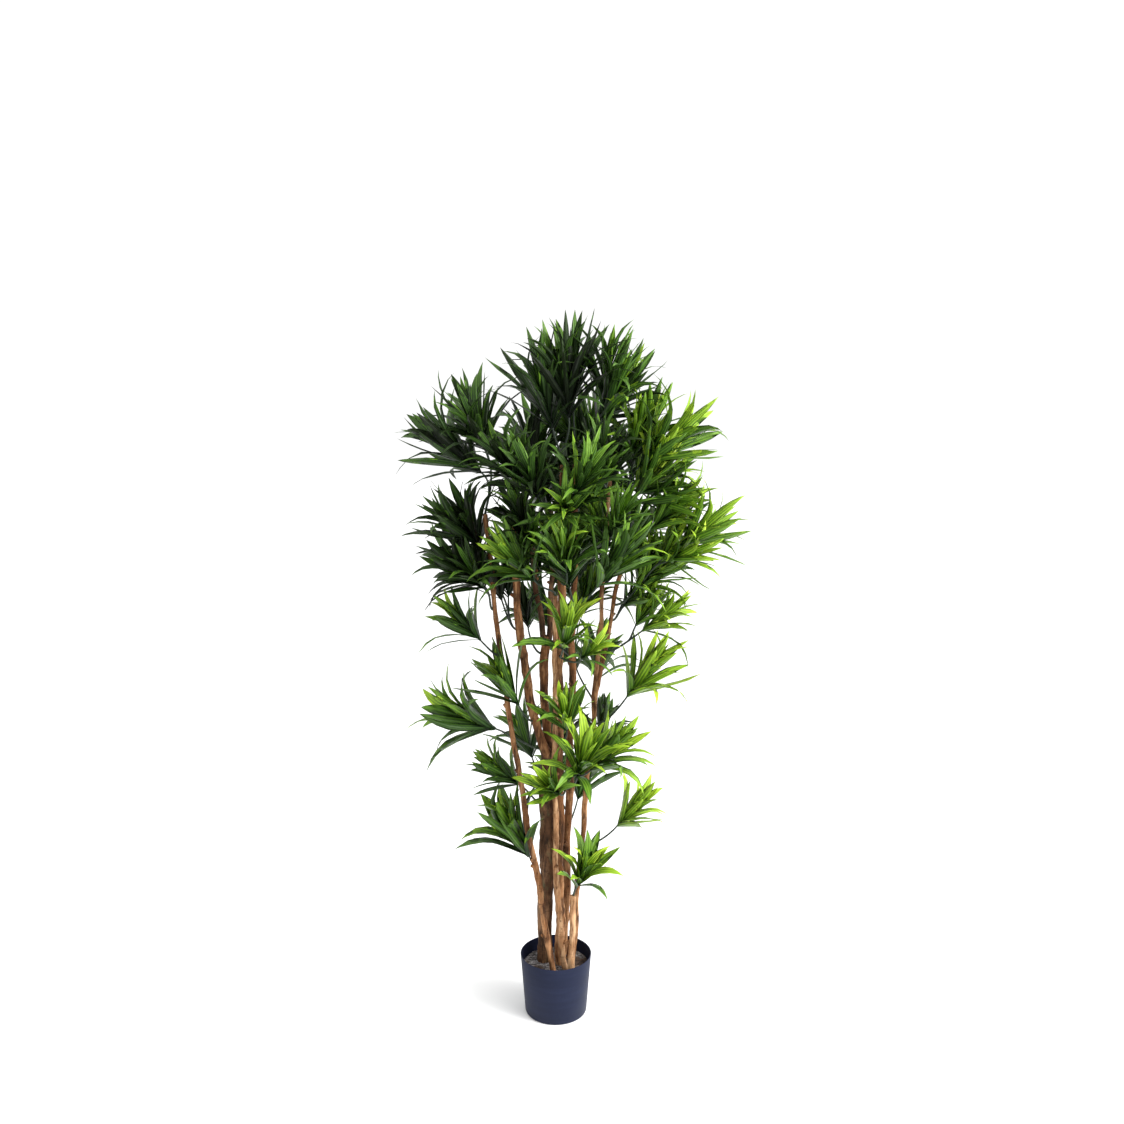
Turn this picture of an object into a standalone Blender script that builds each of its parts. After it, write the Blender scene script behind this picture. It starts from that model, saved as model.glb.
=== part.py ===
"""Song of India, an artificial potted tree 1.8 m tall: eight bundled natural stems in a plain pot,
four boughs where the thickest stem forks, and leafy sprays plugged into the stems by thin green stalks.

Metres, +Z up. The origin is the centre of the pot's underside, and -Y is the side that faces the room.
Azimuths are in degrees, 0 towards +X and 90 towards +Y.
"""

import itertools
import math
import random
from collections import namedtuple

import bmesh
import bpy
from mathutils import Vector
from mathutils.bvhtree import BVHTree

# Driving dimensions.
GAP = 0.0003  # what neighbouring pieces keep between them
POT_HEIGHT = 0.155
POT_RIM_RADIUS = 0.092
POT_FOOT_RADIUS = 0.080
POT_WALL = 0.0025
POT_FLOOR = 0.0035
POT_FOOT_CHAMFER = 0.003
FILL_TOP = 0.122  # the poured filling ends this high, and the stems stand on it
POT_SIDES = 36
CREASE = math.radians(35)  # sharper edges than this stay crisp in the shading

LIMB_SIDES = 8
LIMB_RING_STEP = 0.10
WOBBLE = 0.0022  # how far a natural stem strays from its smooth line
WOBBLE_BEAT = (23.0, 19.0)  # radians a metre, across and along the room
WOBBLE_FADE = 8.0  # it dies away over an eighth of the height at either end
KNOBBLE = 0.05  # share by which its girth changes
KNOBBLE_BEAT = 41.0

STALK_RADIUS = 0.0034
STALK_STEPS = 4
STALK_PULL = (0.20, 0.42)  # how stiffly a stalk keeps its direction at its plug and at its head, over its length
PLUG_PROBES = 4  # rays to either side that feel where the wood stands out furthest under a stalk's end
GUARD = 0.0012  # clear air that leaves keep round wood and stalks

GOLDEN_ANGLE = math.radians(137.5)
LEAVES_A_HEAD = 3  # and a longer head adds more
LEAVES_A_METRE = 42
SHOOT_SHARE = 0.24  # leafy part of the stalk, as a share of the head's length
LEAF_SHARE = (0.76, 0.74)  # leaf length over the head's length, lowest leaf and top leaf
LEAF_SPREAD = (62.0, 5.0)  # degrees between leaf and stalk, lowest leaf and top leaf
LEAF_BEND = (22.0, 6.0)  # degrees by which a leaf arches over
LEAF_SAG = 0.16  # how much its own weight adds to that
LEAF_WIDTH_SHARE = 0.190
LEAF_THICK_SHARE = 0.016
LEAF_ROOT_WIDTH = 0.0022  # where it is sunk in its stalk
LEAF_WIDEST = 0.48  # where a leaf is widest, and bends, over its length
LEAF_JITTER = 6.0  # degrees by which a leaf's spread strays
TURN_JITTER = 0.25  # radians by which its turn round the stalk strays
LENGTH_JITTER = (0.92, 1.06)
LAST_ROOT = 0.94  # share of the leafy part of a stalk that leaves are rooted in
Trial = namedtuple("Trial", "length spread")  # shares tried one by one until a leaf has room
LEAF_TRIALS = [Trial(1.0, 1.0), Trial(0.9, 0.7), Trial(0.8, 1.2), Trial(0.72, 0.5)]
LEAF_REACH = 1.6  # leaves of other sprays further off than this, over the head's length, aren't tested
HEART = 0.26  # radius of the middle of a head that other sprays keep out of, over the head's length

FINISHES = {  # base colour and roughness
    "pot": ((0.035, 0.040, 0.062), 0.45),
    "fill": ((0.33, 0.30, 0.25), 0.95),
    "bark_red": ((0.30, 0.135, 0.060), 0.75),
    "bark_tan": ((0.46, 0.26, 0.13), 0.75),
    "bark_dark": ((0.17, 0.090, 0.050), 0.80),
    "leaf_deep": ((0.018, 0.060, 0.012), 0.45),
    "leaf_mid": ((0.050, 0.150, 0.020), 0.45),
    "leaf_lime": ((0.180, 0.330, 0.025), 0.45),
}

# A limb rises from foot to tip and bows sideways by bow, most at half its height where the skew is 1,
# lower down under 1 and higher up over 1.
Limb = namedtuple("Limb", "name tint foot tip bow skew foot_radius tip_radius")
FORK = 0.690  # height where the thickest stem forks
UPPER_FORK = 0.985  # height where its right-hand bough forks again
ON_FILL = FILL_TOP + GAP
LIMBS = [
    Limb("stem_left_slim", "bark_red", (-0.006, -0.046, ON_FILL), (-0.172, -0.012, 1.300),
         (-0.013, -0.004), 1.3, 0.0082, 0.0055),
    Limb("stem_thick", "bark_dark", (-0.031, 0.020, ON_FILL), (-0.018, 0.024, FORK),
         (0.002, 0.0), 1.0, 0.0190, 0.0215),
    Limb("stem_centre", "bark_red", (0.011, 0.000, ON_FILL), (0.020, 0.000, 1.420),
         (-0.006, 0.0), 1.0, 0.0125, 0.0090),
    Limb("stem_front", "bark_tan", (0.026, -0.026, ON_FILL), (0.000, -0.024, 1.100),
         (-0.017, -0.004), 0.6, 0.0080, 0.0055),
    Limb("stem_short", "bark_tan", (0.040, -0.047, ON_FILL), (0.045, -0.049, 0.334),
         (-0.002, 0.0), 1.0, 0.0088, 0.0074),
    Limb("stem_right_inner", "bark_tan", (0.032, 0.028, ON_FILL), (0.138, 0.038, 1.440),
         (0.012, 0.006), 0.8, 0.0064, 0.0052),
    Limb("stem_right_outer", "bark_red", (0.043, 0.011, ON_FILL), (0.188, 0.016, 1.260),
         (-0.030, 0.002), 1.3, 0.0064, 0.0052),
    Limb("stem_back", "bark_red", (0.020, 0.052, ON_FILL), (0.050, 0.048, 1.420),
         (0.004, 0.004), 1.0, 0.0115, 0.0072),
    Limb("bough_left", "bark_red", (-0.0225, 0.0115, FORK + GAP), (-0.107, 0.000, 1.310),
         (-0.025, -0.004), 0.7, 0.0115, 0.0085),
    Limb("bough_middle", "bark_red", (-0.0125, 0.0330, FORK + GAP), (-0.024, 0.046, UPPER_FORK),
         (-0.013, 0.004), 1.0, 0.0105, 0.0115),
    Limb("bough_upper_left", "bark_dark", (-0.0325, 0.046, UPPER_FORK + GAP), (-0.062, 0.054, 1.320),
         (-0.006, 0.0), 1.0, 0.0075, 0.0050),
    Limb("bough_upper_right", "bark_dark", (-0.0155, 0.046, UPPER_FORK + GAP), (-0.010, 0.052, 1.320),
         (0.004, 0.006), 1.0, 0.0078, 0.0050),
]

# A spray's stalk is plugged into its carrier, at that height, or at the tip where plug is None. Its heads
# of leaves stand at azimuth, reach and rise from the plug, and lean towards lean_azimuth at lean_angle.
Head = namedtuple("Head", "azimuth reach rise lean_azimuth lean_angle length")
Spray = namedtuple("Spray", "name tint carrier plug heads")
SPRAYS = [
    # low on the stems
    Spray("spray_low_front", "leaf_lime", "stem_short", None,
          [Head(300, 0.014, 0.028, 312, 62, 0.155)]),
    Spray("spray_low_right", "leaf_lime", "stem_right_outer", 0.440,
          [Head(0, 0.088, 0.052, 0, 50, 0.150)]),
    Spray("spray_low_left", "leaf_mid", "stem_thick", 0.355,
          [Head(200, 0.048, 0.058, 187, 61, 0.215)]),
    Spray("spray_left_a", "leaf_mid", "stem_thick", 0.550,
          [Head(188, 0.068, 0.050, 185, 38, 0.165)]),
    Spray("spray_front_a", "leaf_lime", "stem_centre", 0.600,
          [Head(300, 0.090, 0.055, 290, 58, 0.180), Head(272, 0.075, 0.010, 240, 40, 0.140)]),
    Spray("spray_front_b", "leaf_lime", "stem_centre", 0.640,
          [Head(330, 0.090, 0.020, 350, 48, 0.180)]),
    Spray("spray_left_b", "leaf_mid", "bough_left", 0.700,
          [Head(193, 0.125, 0.060, 186, 22, 0.215)]),
    Spray("spray_left_c", "leaf_mid", "bough_left", 0.775,
          [Head(232, 0.060, 0.050, 198, 64, 0.190)]),
    Spray("spray_front_c", "leaf_lime", "stem_centre", 0.730,
          [Head(290, 0.055, 0.035, 262, 68, 0.150)]),
    Spray("spray_back_right_a", "leaf_deep", "stem_right_inner", 0.650,
          [Head(55, 0.050, 0.040, 70, 62, 0.140)]),
    Spray("spray_right_a", "leaf_lime", "stem_right_outer", 0.765,
          [Head(335, 0.090, 0.078, 352, 56, 0.205)]),
    Spray("spray_left_d", "leaf_mid", "stem_left_slim", 0.950,
          [Head(172, 0.052, 0.036, 180, 47, 0.170)]),
    Spray("spray_right_b", "leaf_lime", "stem_right_outer", 0.950,
          [Head(350, 0.092, 0.055, 0, 36, 0.170)]),
    Spray("spray_front_d", "leaf_lime", "stem_centre", 0.945,
          [Head(276, 0.090, 0.034, 288, 58, 0.160), Head(312, 0.075, 0.000, 320, 42, 0.115)]),
    Spray("spray_back_left_a", "leaf_deep", "bough_middle", 0.940,
          [Head(195, 0.042, 0.065, 120, 72, 0.120)]),
    # the crown's lower tier
    Spray("spray_crown_front_a", "leaf_mid", "stem_centre", 1.060,
          [Head(302, 0.155, 0.078, 328, 52, 0.215)]),
    Spray("spray_crown_right_a", "leaf_mid", "stem_right_outer", 1.030,
          [Head(20, 0.064, 0.078, 7, 31, 0.175), Head(38, 0.085, 0.085, 32, 58, 0.160)]),
    Spray("spray_crown_right_b", "leaf_lime", "stem_right_outer", 1.070,
          [Head(352, 0.160, 0.150, 0, 32, 0.190), Head(10, 0.150, 0.165, 12, 68, 0.160)]),
    Spray("spray_crown_right_c", "leaf_mid", "stem_right_outer", 1.190,
          [Head(327, 0.070, 0.072, 0, 46, 0.170)]),
    Spray("spray_crown_front_b", "leaf_mid", "stem_centre", 1.130,
          [Head(276, 0.120, 0.038, 262, 56, 0.165)]),
    Spray("spray_crown_front_c", "leaf_mid", "stem_front", None,
          [Head(240, 0.095, 0.048, 212, 44, 0.185)]),
    Spray("spray_crown_front_d", "leaf_mid", "stem_right_inner", 1.195,
          [Head(273, 0.122, 0.050, 296, 60, 0.155)]),
    Spray("spray_crown_left_a", "leaf_deep", "stem_left_slim", 1.065,
          [Head(195, 0.027, 0.060, 187, 38, 0.195)]),
    Spray("spray_crown_left_b", "leaf_deep", "bough_left", 1.010,
          [Head(157, 0.048, 0.070, 178, 72, 0.150), Head(165, 0.060, 0.110, 160, 44, 0.190)]),
    Spray("spray_crown_left_c", "leaf_deep", "stem_left_slim", 1.165,
          [Head(200, 0.029, 0.060, 188, 38, 0.200)]),
    Spray("spray_crown_left_d", "leaf_deep", "bough_left", 1.205,
          [Head(297, 0.075, 0.048, 236, 60, 0.165)]),
    # the crown's upper tier
    Spray("spray_crown_front_e", "leaf_mid", "stem_centre", 1.280,
          [Head(281, 0.128, 0.064, 300, 52, 0.185)]),
    Spray("spray_crown_front_f", "leaf_deep", "stem_centre", 1.310,
          [Head(240, 0.115, 0.038, 238, 56, 0.175)]),
    Spray("spray_crown_front_g", "leaf_deep", "stem_right_inner", 1.360,
          [Head(258, 0.112, 0.052, 264, 60, 0.155)]),
    Spray("spray_top_left_a", "leaf_deep", "stem_left_slim", None,
          [Head(150, 0.008, 0.100, 184, 41, 0.245), Head(80, 0.022, 0.150, 178, 68, 0.222)]),
    Spray("spray_top_left_b", "leaf_deep", "bough_left", None,
          [Head(280, 0.072, 0.078, 228, 50, 0.175)]),
    Spray("spray_top_left_c", "leaf_deep", "bough_upper_left", None,
          [Head(60, 0.015, 0.085, 118, 74, 0.190)]),
    Spray("spray_top_right_a", "leaf_lime", "stem_right_outer", None,
          [Head(300, 0.030, 0.155, 354, 42, 0.240), Head(70, 0.030, 0.180, 22, 67, 0.200)]),
    Spray("spray_top_a", "leaf_deep", "stem_centre", None,
          [Head(180, 0.026, 0.085, 185, 77, 0.240), Head(340, 0.014, 0.110, 200, 84, 0.240)]),
    Spray("spray_top_b", "leaf_deep", "stem_back", None,
          [Head(250, 0.018, 0.155, 250, 88, 0.228), Head(5, 0.050, 0.100, 12, 50, 0.215)]),
    Spray("spray_top_c", "leaf_mid", "stem_right_inner", None,
          [Head(205, 0.026, 0.092, 358, 69, 0.230), Head(150, 0.020, 0.130, 30, 84, 0.210)]),
]

# The far side carries sprays at even steps up its stems, swinging from side to side.
FAR_CARRIERS = [
    ("stem_back", 0.480), ("stem_thick", 0.600), ("stem_right_inner", 0.800), ("stem_back", 0.930),
    ("bough_upper_left", 1.050), ("stem_back", 1.080), ("stem_right_inner", 1.120),
    ("bough_upper_right", 1.230), ("stem_right_inner", 1.290), ("stem_back", 1.330),
]
FAR_TINT = "leaf_mid"
FAR_SWING = (20.4, 13.6)  # degrees to either side of straight back: the mean, and what SWING_BEAT adds
SWING_BEAT = 2.4
FAR_RISE = 0.5  # rise of a far spray's first head over its reach
FAR_FORK_REACH = 0.7  # reach and rise of its second head over the reach of the first
FAR_FORK_RISE = 0.9
FAR_FORK_LENGTH = 0.9
FAR_FORK = 46.0  # degrees by which the second head of a far spray turns away from the first
FAR_LIFT = 14.0  # degrees by which it stands steeper
FAR_REACH = (0.080, 0.155)  # lowest and highest far spray
FAR_LENGTH = (0.165, 0.220)
FAR_LEAN = (48.0, 40.0)


def material(name):
    """A Principled material in the named colour."""
    made = bpy.data.materials.new(name)
    made.use_nodes = True
    colour, roughness = FINISHES[name]
    shader = made.node_tree.nodes["Principled BSDF"]
    shader.inputs["Base Color"].default_value = (*colour, 1.0)
    shader.inputs["Roughness"].default_value = roughness
    return made


def add_object(name, mesh, surface, smooth=True):
    """Links a mesh to the scene under the name and material given."""
    thing = bpy.data.objects.new(name, mesh)
    mesh.materials.append(surface)
    if smooth:
        mesh.shade_smooth()
        mesh.set_sharp_from_angle(angle=CREASE)
    bpy.context.scene.collection.objects.link(thing)
    return thing


def turned(name, profile, sides, surface):
    """A solid of revolution from a profile of (radius, height) whose two ends lie on the axis."""
    bm = bmesh.new()
    points = [bm.verts.new((radius, 0.0, height)) for radius, height in profile]
    edges = [bm.edges.new(pair) for pair in zip(points, points[1:])]
    bmesh.ops.spin(bm, geom=points + edges, cent=(0, 0, 0), axis=(0, 0, 1), angle=2 * math.pi,
                   steps=sides, use_merge=True)
    bmesh.ops.remove_doubles(bm, verts=bm.verts, dist=1e-6)
    bmesh.ops.recalc_face_normals(bm, faces=bm.faces)
    mesh = bpy.data.meshes.new(name)
    bm.to_mesh(mesh)
    bm.free()
    return add_object(name, mesh, surface)


def pot_inner_radius(height):
    """Inner radius of the pot's sloping wall."""
    share = height / POT_HEIGHT
    return POT_FOOT_RADIUS + (POT_RIM_RADIUS - POT_FOOT_RADIUS) * share - POT_WALL


def make_pot(surface):
    """A plain tapered pot, open at the top."""
    profile = [
        (0.0, 0.0),
        (POT_FOOT_RADIUS - POT_FOOT_CHAMFER, 0.0),
        (POT_FOOT_RADIUS, POT_FOOT_CHAMFER),
        (POT_RIM_RADIUS, POT_HEIGHT),
        (POT_RIM_RADIUS - POT_WALL, POT_HEIGHT),
        (pot_inner_radius(POT_FLOOR), POT_FLOOR),
        (0.0, POT_FLOOR),
    ]
    return turned("pot", profile, POT_SIDES, surface)


def make_fill(surface):
    """The poured filling that holds the stems, and ends a little below the rim."""
    bottom = POT_FLOOR + GAP
    side_gap = 3 * GAP  # the pot and the filling are polygons, so their flats come closer than their corners
    profile = [
        (0.0, bottom),
        (pot_inner_radius(bottom) - side_gap, bottom),
        (pot_inner_radius(FILL_TOP) - side_gap, FILL_TOP),
        (0.0, FILL_TOP),
    ]
    return turned("fill", profile, POT_SIDES, surface)


def limb_centre(limb, height):
    """Where a limb's axis is at a height, with the slow wobble of natural wood."""
    foot, tip = Vector(limb.foot), Vector(limb.tip)
    share = (height - foot.z) / (tip.z - foot.z)
    swing = math.sin(math.pi * share**limb.skew)
    seed = sum(map(ord, limb.name))
    fade = min(1.0, WOBBLE_FADE * share, WOBBLE_FADE * (1 - share))
    beats = (math.sin(beat * height + (i + 1) * seed) for i, beat in enumerate(WOBBLE_BEAT))
    wobble = Vector((*beats, 0)) * WOBBLE * fade
    centre = foot.lerp(tip, share) + Vector((*limb.bow, 0)) * swing + wobble
    centre.z = height
    return centre


def limb_radius(limb, height):
    """A limb's radius at a height: an even taper, swelling a little at its knots."""
    share = (height - limb.foot[2]) / (limb.tip[2] - limb.foot[2])
    seed = sum(map(ord, limb.name))
    knobble = 1 + KNOBBLE * math.sin(KNOBBLE_BEAT * height + 3 * seed)
    return (limb.foot_radius + (limb.tip_radius - limb.foot_radius) * share) * knobble


def limb_heights(limb):
    """Heights of a limb's rings, evenly spaced from its flat foot to its flat top."""
    rise = limb.tip[2] - limb.foot[2]
    count = max(3, round(rise / LIMB_RING_STEP))
    return [limb.foot[2] + rise * i / count for i in range(count + 1)]


def tube_mesh(name, rings):
    """A closed tube through rings of points, with flat ends."""
    bm = bmesh.new()
    loops = [[bm.verts.new(point) for point in ring] for ring in rings]
    for low, high in zip(loops, loops[1:]):
        for i in range(len(low)):
            j = (i + 1) % len(low)
            bm.faces.new((low[i], low[j], high[j], high[i]))
    bm.faces.new(reversed(loops[0]))
    bm.faces.new(loops[-1])
    bmesh.ops.recalc_face_normals(bm, faces=bm.faces)
    mesh = bpy.data.meshes.new(name)
    bm.to_mesh(mesh)
    bm.free()
    return mesh


def limb_mesh(limb, extra=0.0):
    """The limb as a tube of level rings, each side extra thicker where it serves as a guard."""
    rings = []
    for height in limb_heights(limb):
        centre, radius = limb_centre(limb, height), limb_radius(limb, height) + extra
        rings.append([
            centre + Vector((math.cos(turn), math.sin(turn), 0)) * radius
            for turn in (2 * math.pi * i / LIMB_SIDES for i in range(LIMB_SIDES))
        ])
    return tube_mesh(limb.name, rings)


def mix(ends, share):
    """A value between two ends."""
    return ends[0] + (ends[1] - ends[0]) * share


def aim(azimuth, angle):
    """Unit vector towards an azimuth, raised by an angle, both in degrees."""
    turn, lift = math.radians(azimuth), math.radians(angle)
    return Vector((math.cos(turn) * math.cos(lift), math.sin(turn) * math.cos(lift), math.sin(lift)))


def frame_of(axis):
    """Two unit vectors square to an axis and to each other."""
    side = axis.cross(Vector((0, 0, 1)))
    if side.length < 0.05:
        side = axis.cross(Vector((1, 0, 0)))
    side.normalize()
    return side, side.cross(axis).normalized()


def stalk_rings(path, radius):
    """Three-sided rings along a path of (point, direction), turned as little as possible on the way."""
    side = frame_of(path[0][1])[0]
    rings = []
    for point, axis in path:
        side = (side - axis * side.dot(axis)).normalized()
        up = side.cross(axis)
        turns = (math.pi / 2 + 2 * math.pi * i / 3 for i in range(3))
        rings.append([point + (side * math.cos(t) + up * math.sin(t)) * radius for t in turns])
    return rings


def bezier(start, start_pull, end_pull, end, share):
    """A point on a cubic curve, and the direction there."""
    a, b, c, d = start, start + start_pull, end - end_pull, end
    rest = 1 - share
    point = a * rest**3 + b * 3 * rest**2 * share + c * 3 * rest * share**2 + d * share**3
    slope = (b - a) * rest**2 + (c - b) * 2 * rest * share + (d - c) * share**2
    return point, slope.normalized()


def plug_point(spray, limbs, trees):
    """Where a stalk starts, a gap clear of its carrier, and the direction in which it leaves it."""
    carrier = limbs[spray.carrier]
    if spray.plug is None:
        return Vector(carrier.tip) + Vector((0, 0, GAP)), Vector((0, 0, 1))
    outward = aim(spray.heads[0].azimuth, 0)
    side, up = frame_of(outward)
    centre = limb_centre(carrier, spray.plug)
    reach = 0.0
    probes = [step / PLUG_PROBES for step in range(-PLUG_PROBES, PLUG_PROBES + 1)]
    for across, along in itertools.product(probes, probes):
        start = centre + (side * across + up * along) * STALK_RADIUS + outward * 3 * carrier.foot_radius
        hit = trees[spray.carrier].ray_cast(start, -outward)[0]
        if hit:
            reach = max(reach, (hit - centre).dot(outward))
    return centre + outward * (reach + GAP), outward


def head_base(spray, head, limbs):
    """Where a head's leaves begin."""
    carrier = limbs[spray.carrier]
    height = carrier.tip[2] if spray.plug is None else spray.plug
    return limb_centre(carrier, height) + aim(head.azimuth, 0) * head.reach + Vector((0, 0, head.rise))


def stalk_paths(spray, limbs, trees):
    """Paths of the spray's main stalk, and of a forked stalk to each further head."""
    start, outward = plug_point(spray, limbs, trees)
    paths = []
    for number, head in enumerate(spray.heads):
        base, axis = head_base(spray, head, limbs), aim(head.lean_azimuth, head.lean_angle)
        if number:  # a further head forks off inside the first stalk
            start, outward = paths[0][1]
        first, last = ((base - start).length * share for share in STALK_PULL)
        path = [
            bezier(start, outward * first, axis * last, base, step / STALK_STEPS)
            for step in range(STALK_STEPS + 1)
        ]
        path.append((base + axis * head.length * SHOOT_SHARE, axis))
        paths.append(path)
    return paths


def leaf_count(head):
    """How many leaves a head carries."""
    return LEAVES_A_HEAD + round(LEAVES_A_METRE * head.length)


def leaf_points(head, base, number, trial, margin=0.0):
    """A leaf's corners: three at its root, three at its widest place, and its tip, margin larger all round."""
    axis = aim(head.lean_azimuth, head.lean_angle)
    side, up = frame_of(axis)
    rank = (number + 0.5) / leaf_count(head)
    rng = random.Random(f"{head} {number}")
    turn = number * GOLDEN_ANGLE + rng.uniform(-TURN_JITTER, TURN_JITTER)
    spread = math.radians(mix(LEAF_SPREAD, rank) + rng.uniform(-LEAF_JITTER, LEAF_JITTER)) * trial.spread
    length = head.length * mix(LEAF_SHARE, rank) * rng.uniform(*LENGTH_JITTER) * trial.length
    bend = math.radians(mix(LEAF_BEND, rank))
    away = side * math.cos(turn) + up * math.sin(turn)
    across = axis.cross(away).normalized()
    first = axis * math.cos(spread) + away * math.sin(spread)
    last = axis * math.cos(spread + bend) + away * math.sin(spread + bend)
    last = (last - Vector((0, 0, LEAF_SAG))).normalized()
    back = across.cross(first)  # the leaf's underside faces this way
    if back.dot(axis) > 0:
        back = -back
    root = base + axis * head.length * SHOOT_SHARE * LAST_ROOT * rank
    middle = root + first * length * LEAF_WIDEST
    tip = middle + last * (length * (1 - LEAF_WIDEST) + margin)
    corners = []
    for centre, width in (root, LEAF_ROOT_WIDTH), (middle, length * LEAF_WIDTH_SHARE):
        thick = width * LEAF_THICK_SHARE / LEAF_WIDTH_SHARE
        corners += [centre + across * turned * (width / 2 + margin) - back * margin for turned in (-1, 1)]
        corners.append(centre + back * (thick + margin))
    return [*corners, tip]


LEAF_FACES = [(0, 2, 1), (0, 1, 4, 3), (1, 2, 5, 4), (2, 0, 3, 5), (3, 4, 6), (4, 5, 6), (5, 3, 6)]


def triangles(faces):
    """Faces cut into triangles as a fan."""
    return [(face[0], face[i], face[i + 1]) for face in faces for i in range(1, len(face) - 1)]


def guard_tree(meshes):
    """A search tree of the surfaces of several meshes."""
    points, faces = [], []
    for mesh in meshes:
        offset = len(points)
        points += [vertex.co.copy() for vertex in mesh.vertices]
        faces += [tuple(offset + i for i in face.vertices) for face in mesh.polygons]
    return BVHTree.FromPolygons(points, triangles(faces))


def keeps_room(spray, head, base, number, trial, hearts, guards, placed):
    """True if a leaf stays out of the other sprays' hearts and clear of their leaves, all wood and stalks."""
    points = leaf_points(head, base, number, trial)
    for owner, centre, radius in hearts:
        if owner != spray.name and min((point - centre).length for point in points[3:]) < radius:
            return False
    wide = leaf_points(head, base, number, trial, GUARD)
    leaf = BVHTree.FromPolygons(wide, triangles(LEAF_FACES))
    if any(leaf.overlap(guard) for name, guard in guards.items() if name != spray.name):
        return False
    return not any(
        owner != spray.name and (other - points[3]).length < reach and leaf.overlap(tree)
        for owner, other, reach, tree in placed
    )


def add_leaf(collection, number, points):
    """A leaf as a loose mesh in a collection, ready to be fused."""
    mesh = bpy.data.meshes.new(f"leaf_{number}")
    mesh.from_pydata(points, [], LEAF_FACES)
    bm = bmesh.new()
    bm.from_mesh(mesh)
    bmesh.ops.recalc_face_normals(bm, faces=bm.faces)
    bm.to_mesh(mesh)
    bm.free()
    collection.objects.link(bpy.data.objects.new(mesh.name, mesh))


def fused(thing, collection):
    """Joins a collection's meshes to an object by one Boolean union, and removes them."""
    union = thing.modifiers.new("fuse", "BOOLEAN")
    union.operation = "UNION"
    union.operand_type = "COLLECTION"
    union.collection = collection
    union.solver = "EXACT"
    graph = bpy.context.evaluated_depsgraph_get()
    mesh = bpy.data.meshes.new_from_object(thing.evaluated_get(graph))
    thing.modifiers.clear()
    thing.data = mesh
    for loose in list(collection.objects):
        bpy.data.objects.remove(loose)
    bpy.data.collections.remove(collection)


def hearts_of(sprays, limbs):
    """The middle of every head: its spray's name, its centre and its radius."""
    return [
        (spray.name, head_base(spray, head, limbs) + aim(head.lean_azimuth, head.lean_angle) * head.length / 2,
         head.length * HEART)
        for spray in sprays for head in spray.heads
    ]


def far_sprays():
    """The sprays of the far side, stepped up their carriers and swung left and right in turn."""
    made = []
    for number, (carrier, plug) in enumerate(FAR_CARRIERS):
        rank = number / (len(FAR_CARRIERS) - 1)
        hand = 1 if number % 2 else -1
        azimuth = 90 + hand * (FAR_SWING[0] + FAR_SWING[1] * math.sin(SWING_BEAT * number))
        reach, length, lean = (mix(ends, rank) for ends in (FAR_REACH, FAR_LENGTH, FAR_LEAN))
        first = Head(azimuth, reach, FAR_RISE * reach, azimuth, lean, length)
        away = azimuth - FAR_FORK * hand
        second = Head(away, FAR_FORK_REACH * reach, FAR_FORK_RISE * reach, away, lean + FAR_LIFT,
                      FAR_FORK_LENGTH * length)
        made.append(Spray(f"spray_far_{number + 1}", FAR_TINT, carrier, plug, [first, second]))
    return made


def settled_leaves(sprays, limbs, guards):
    """The corners of all leaves by spray. They are dealt out in turn, and one with no room is left out."""
    hearts, placed = hearts_of(sprays, limbs), []
    leaves = {spray.name: [] for spray in sprays}
    heads = [(spray, head) for spray in sprays for head in spray.heads]
    for number in range(max(leaf_count(head) for _, head in heads)):
        for spray, head in heads:
            if number >= leaf_count(head):
                continue
            base = head_base(spray, head, limbs)
            for trial in LEAF_TRIALS:
                if keeps_room(spray, head, base, number, trial, hearts, guards, placed):
                    points = leaf_points(head, base, number, trial)
                    tree = BVHTree.FromPolygons(points, triangles(LEAF_FACES))
                    placed.append((spray.name, points[3], head.length * LEAF_REACH, tree))
                    leaves[spray.name].append(points)
                    break
    return leaves


def make_spray(spray, limbs, trees, leaves, surface):
    """One spray: its stalk with all its forks and leaves fused on."""
    tubes = [stalk_rings(path, STALK_RADIUS) for path in stalk_paths(spray, limbs, trees)]
    loose = bpy.data.collections.new(spray.name)
    for rings in tubes[1:]:
        loose.objects.link(bpy.data.objects.new("fork", tube_mesh("fork", rings)))
    for number, points in enumerate(leaves):
        add_leaf(loose, number, points)
    thing = add_object(spray.name, tube_mesh(spray.name, tubes[0]), surface, smooth=False)
    fused(thing, loose)


def main():
    for thing in list(bpy.data.objects):
        bpy.data.objects.remove(thing)
    finishes = {name: material(name) for name in FINISHES}
    make_pot(finishes["pot"])
    make_fill(finishes["fill"])
    limbs = {limb.name: limb for limb in LIMBS}
    trees = {}
    for limb in LIMBS:
        thing = add_object(limb.name, limb_mesh(limb), finishes[limb.tint])
        trees[limb.name] = guard_tree([thing.data])
    sprays = SPRAYS + far_sprays()
    stalk_guards = {"wood": guard_tree([limb_mesh(limb, GUARD) for limb in LIMBS])}
    for spray in sprays:
        paths = stalk_paths(spray, limbs, trees)
        tubes = [tube_mesh("guard", stalk_rings(path, STALK_RADIUS + 2 * GUARD)) for path in paths]
        stalk_guards[spray.name] = guard_tree(tubes)
    leaves = settled_leaves(sprays, limbs, stalk_guards)
    for spray in sprays:
        make_spray(spray, limbs, trees, leaves[spray.name], finishes[spray.tint])


main()
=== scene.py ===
"""Song of India, an artificial potted tree 1.8 m tall: the bark, stalks, leaves, pot and filling that show.

Metres, +Z up. The origin is the centre of the pot's underside, and -Y is the side that faces the room.
Azimuths are in degrees, 0 towards +X and 90 towards +Y.
"""

import random
from collections import namedtuple
from math import cos, exp, pi, radians, sin, sqrt

import bmesh
import bpy
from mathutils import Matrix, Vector, noise


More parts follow.
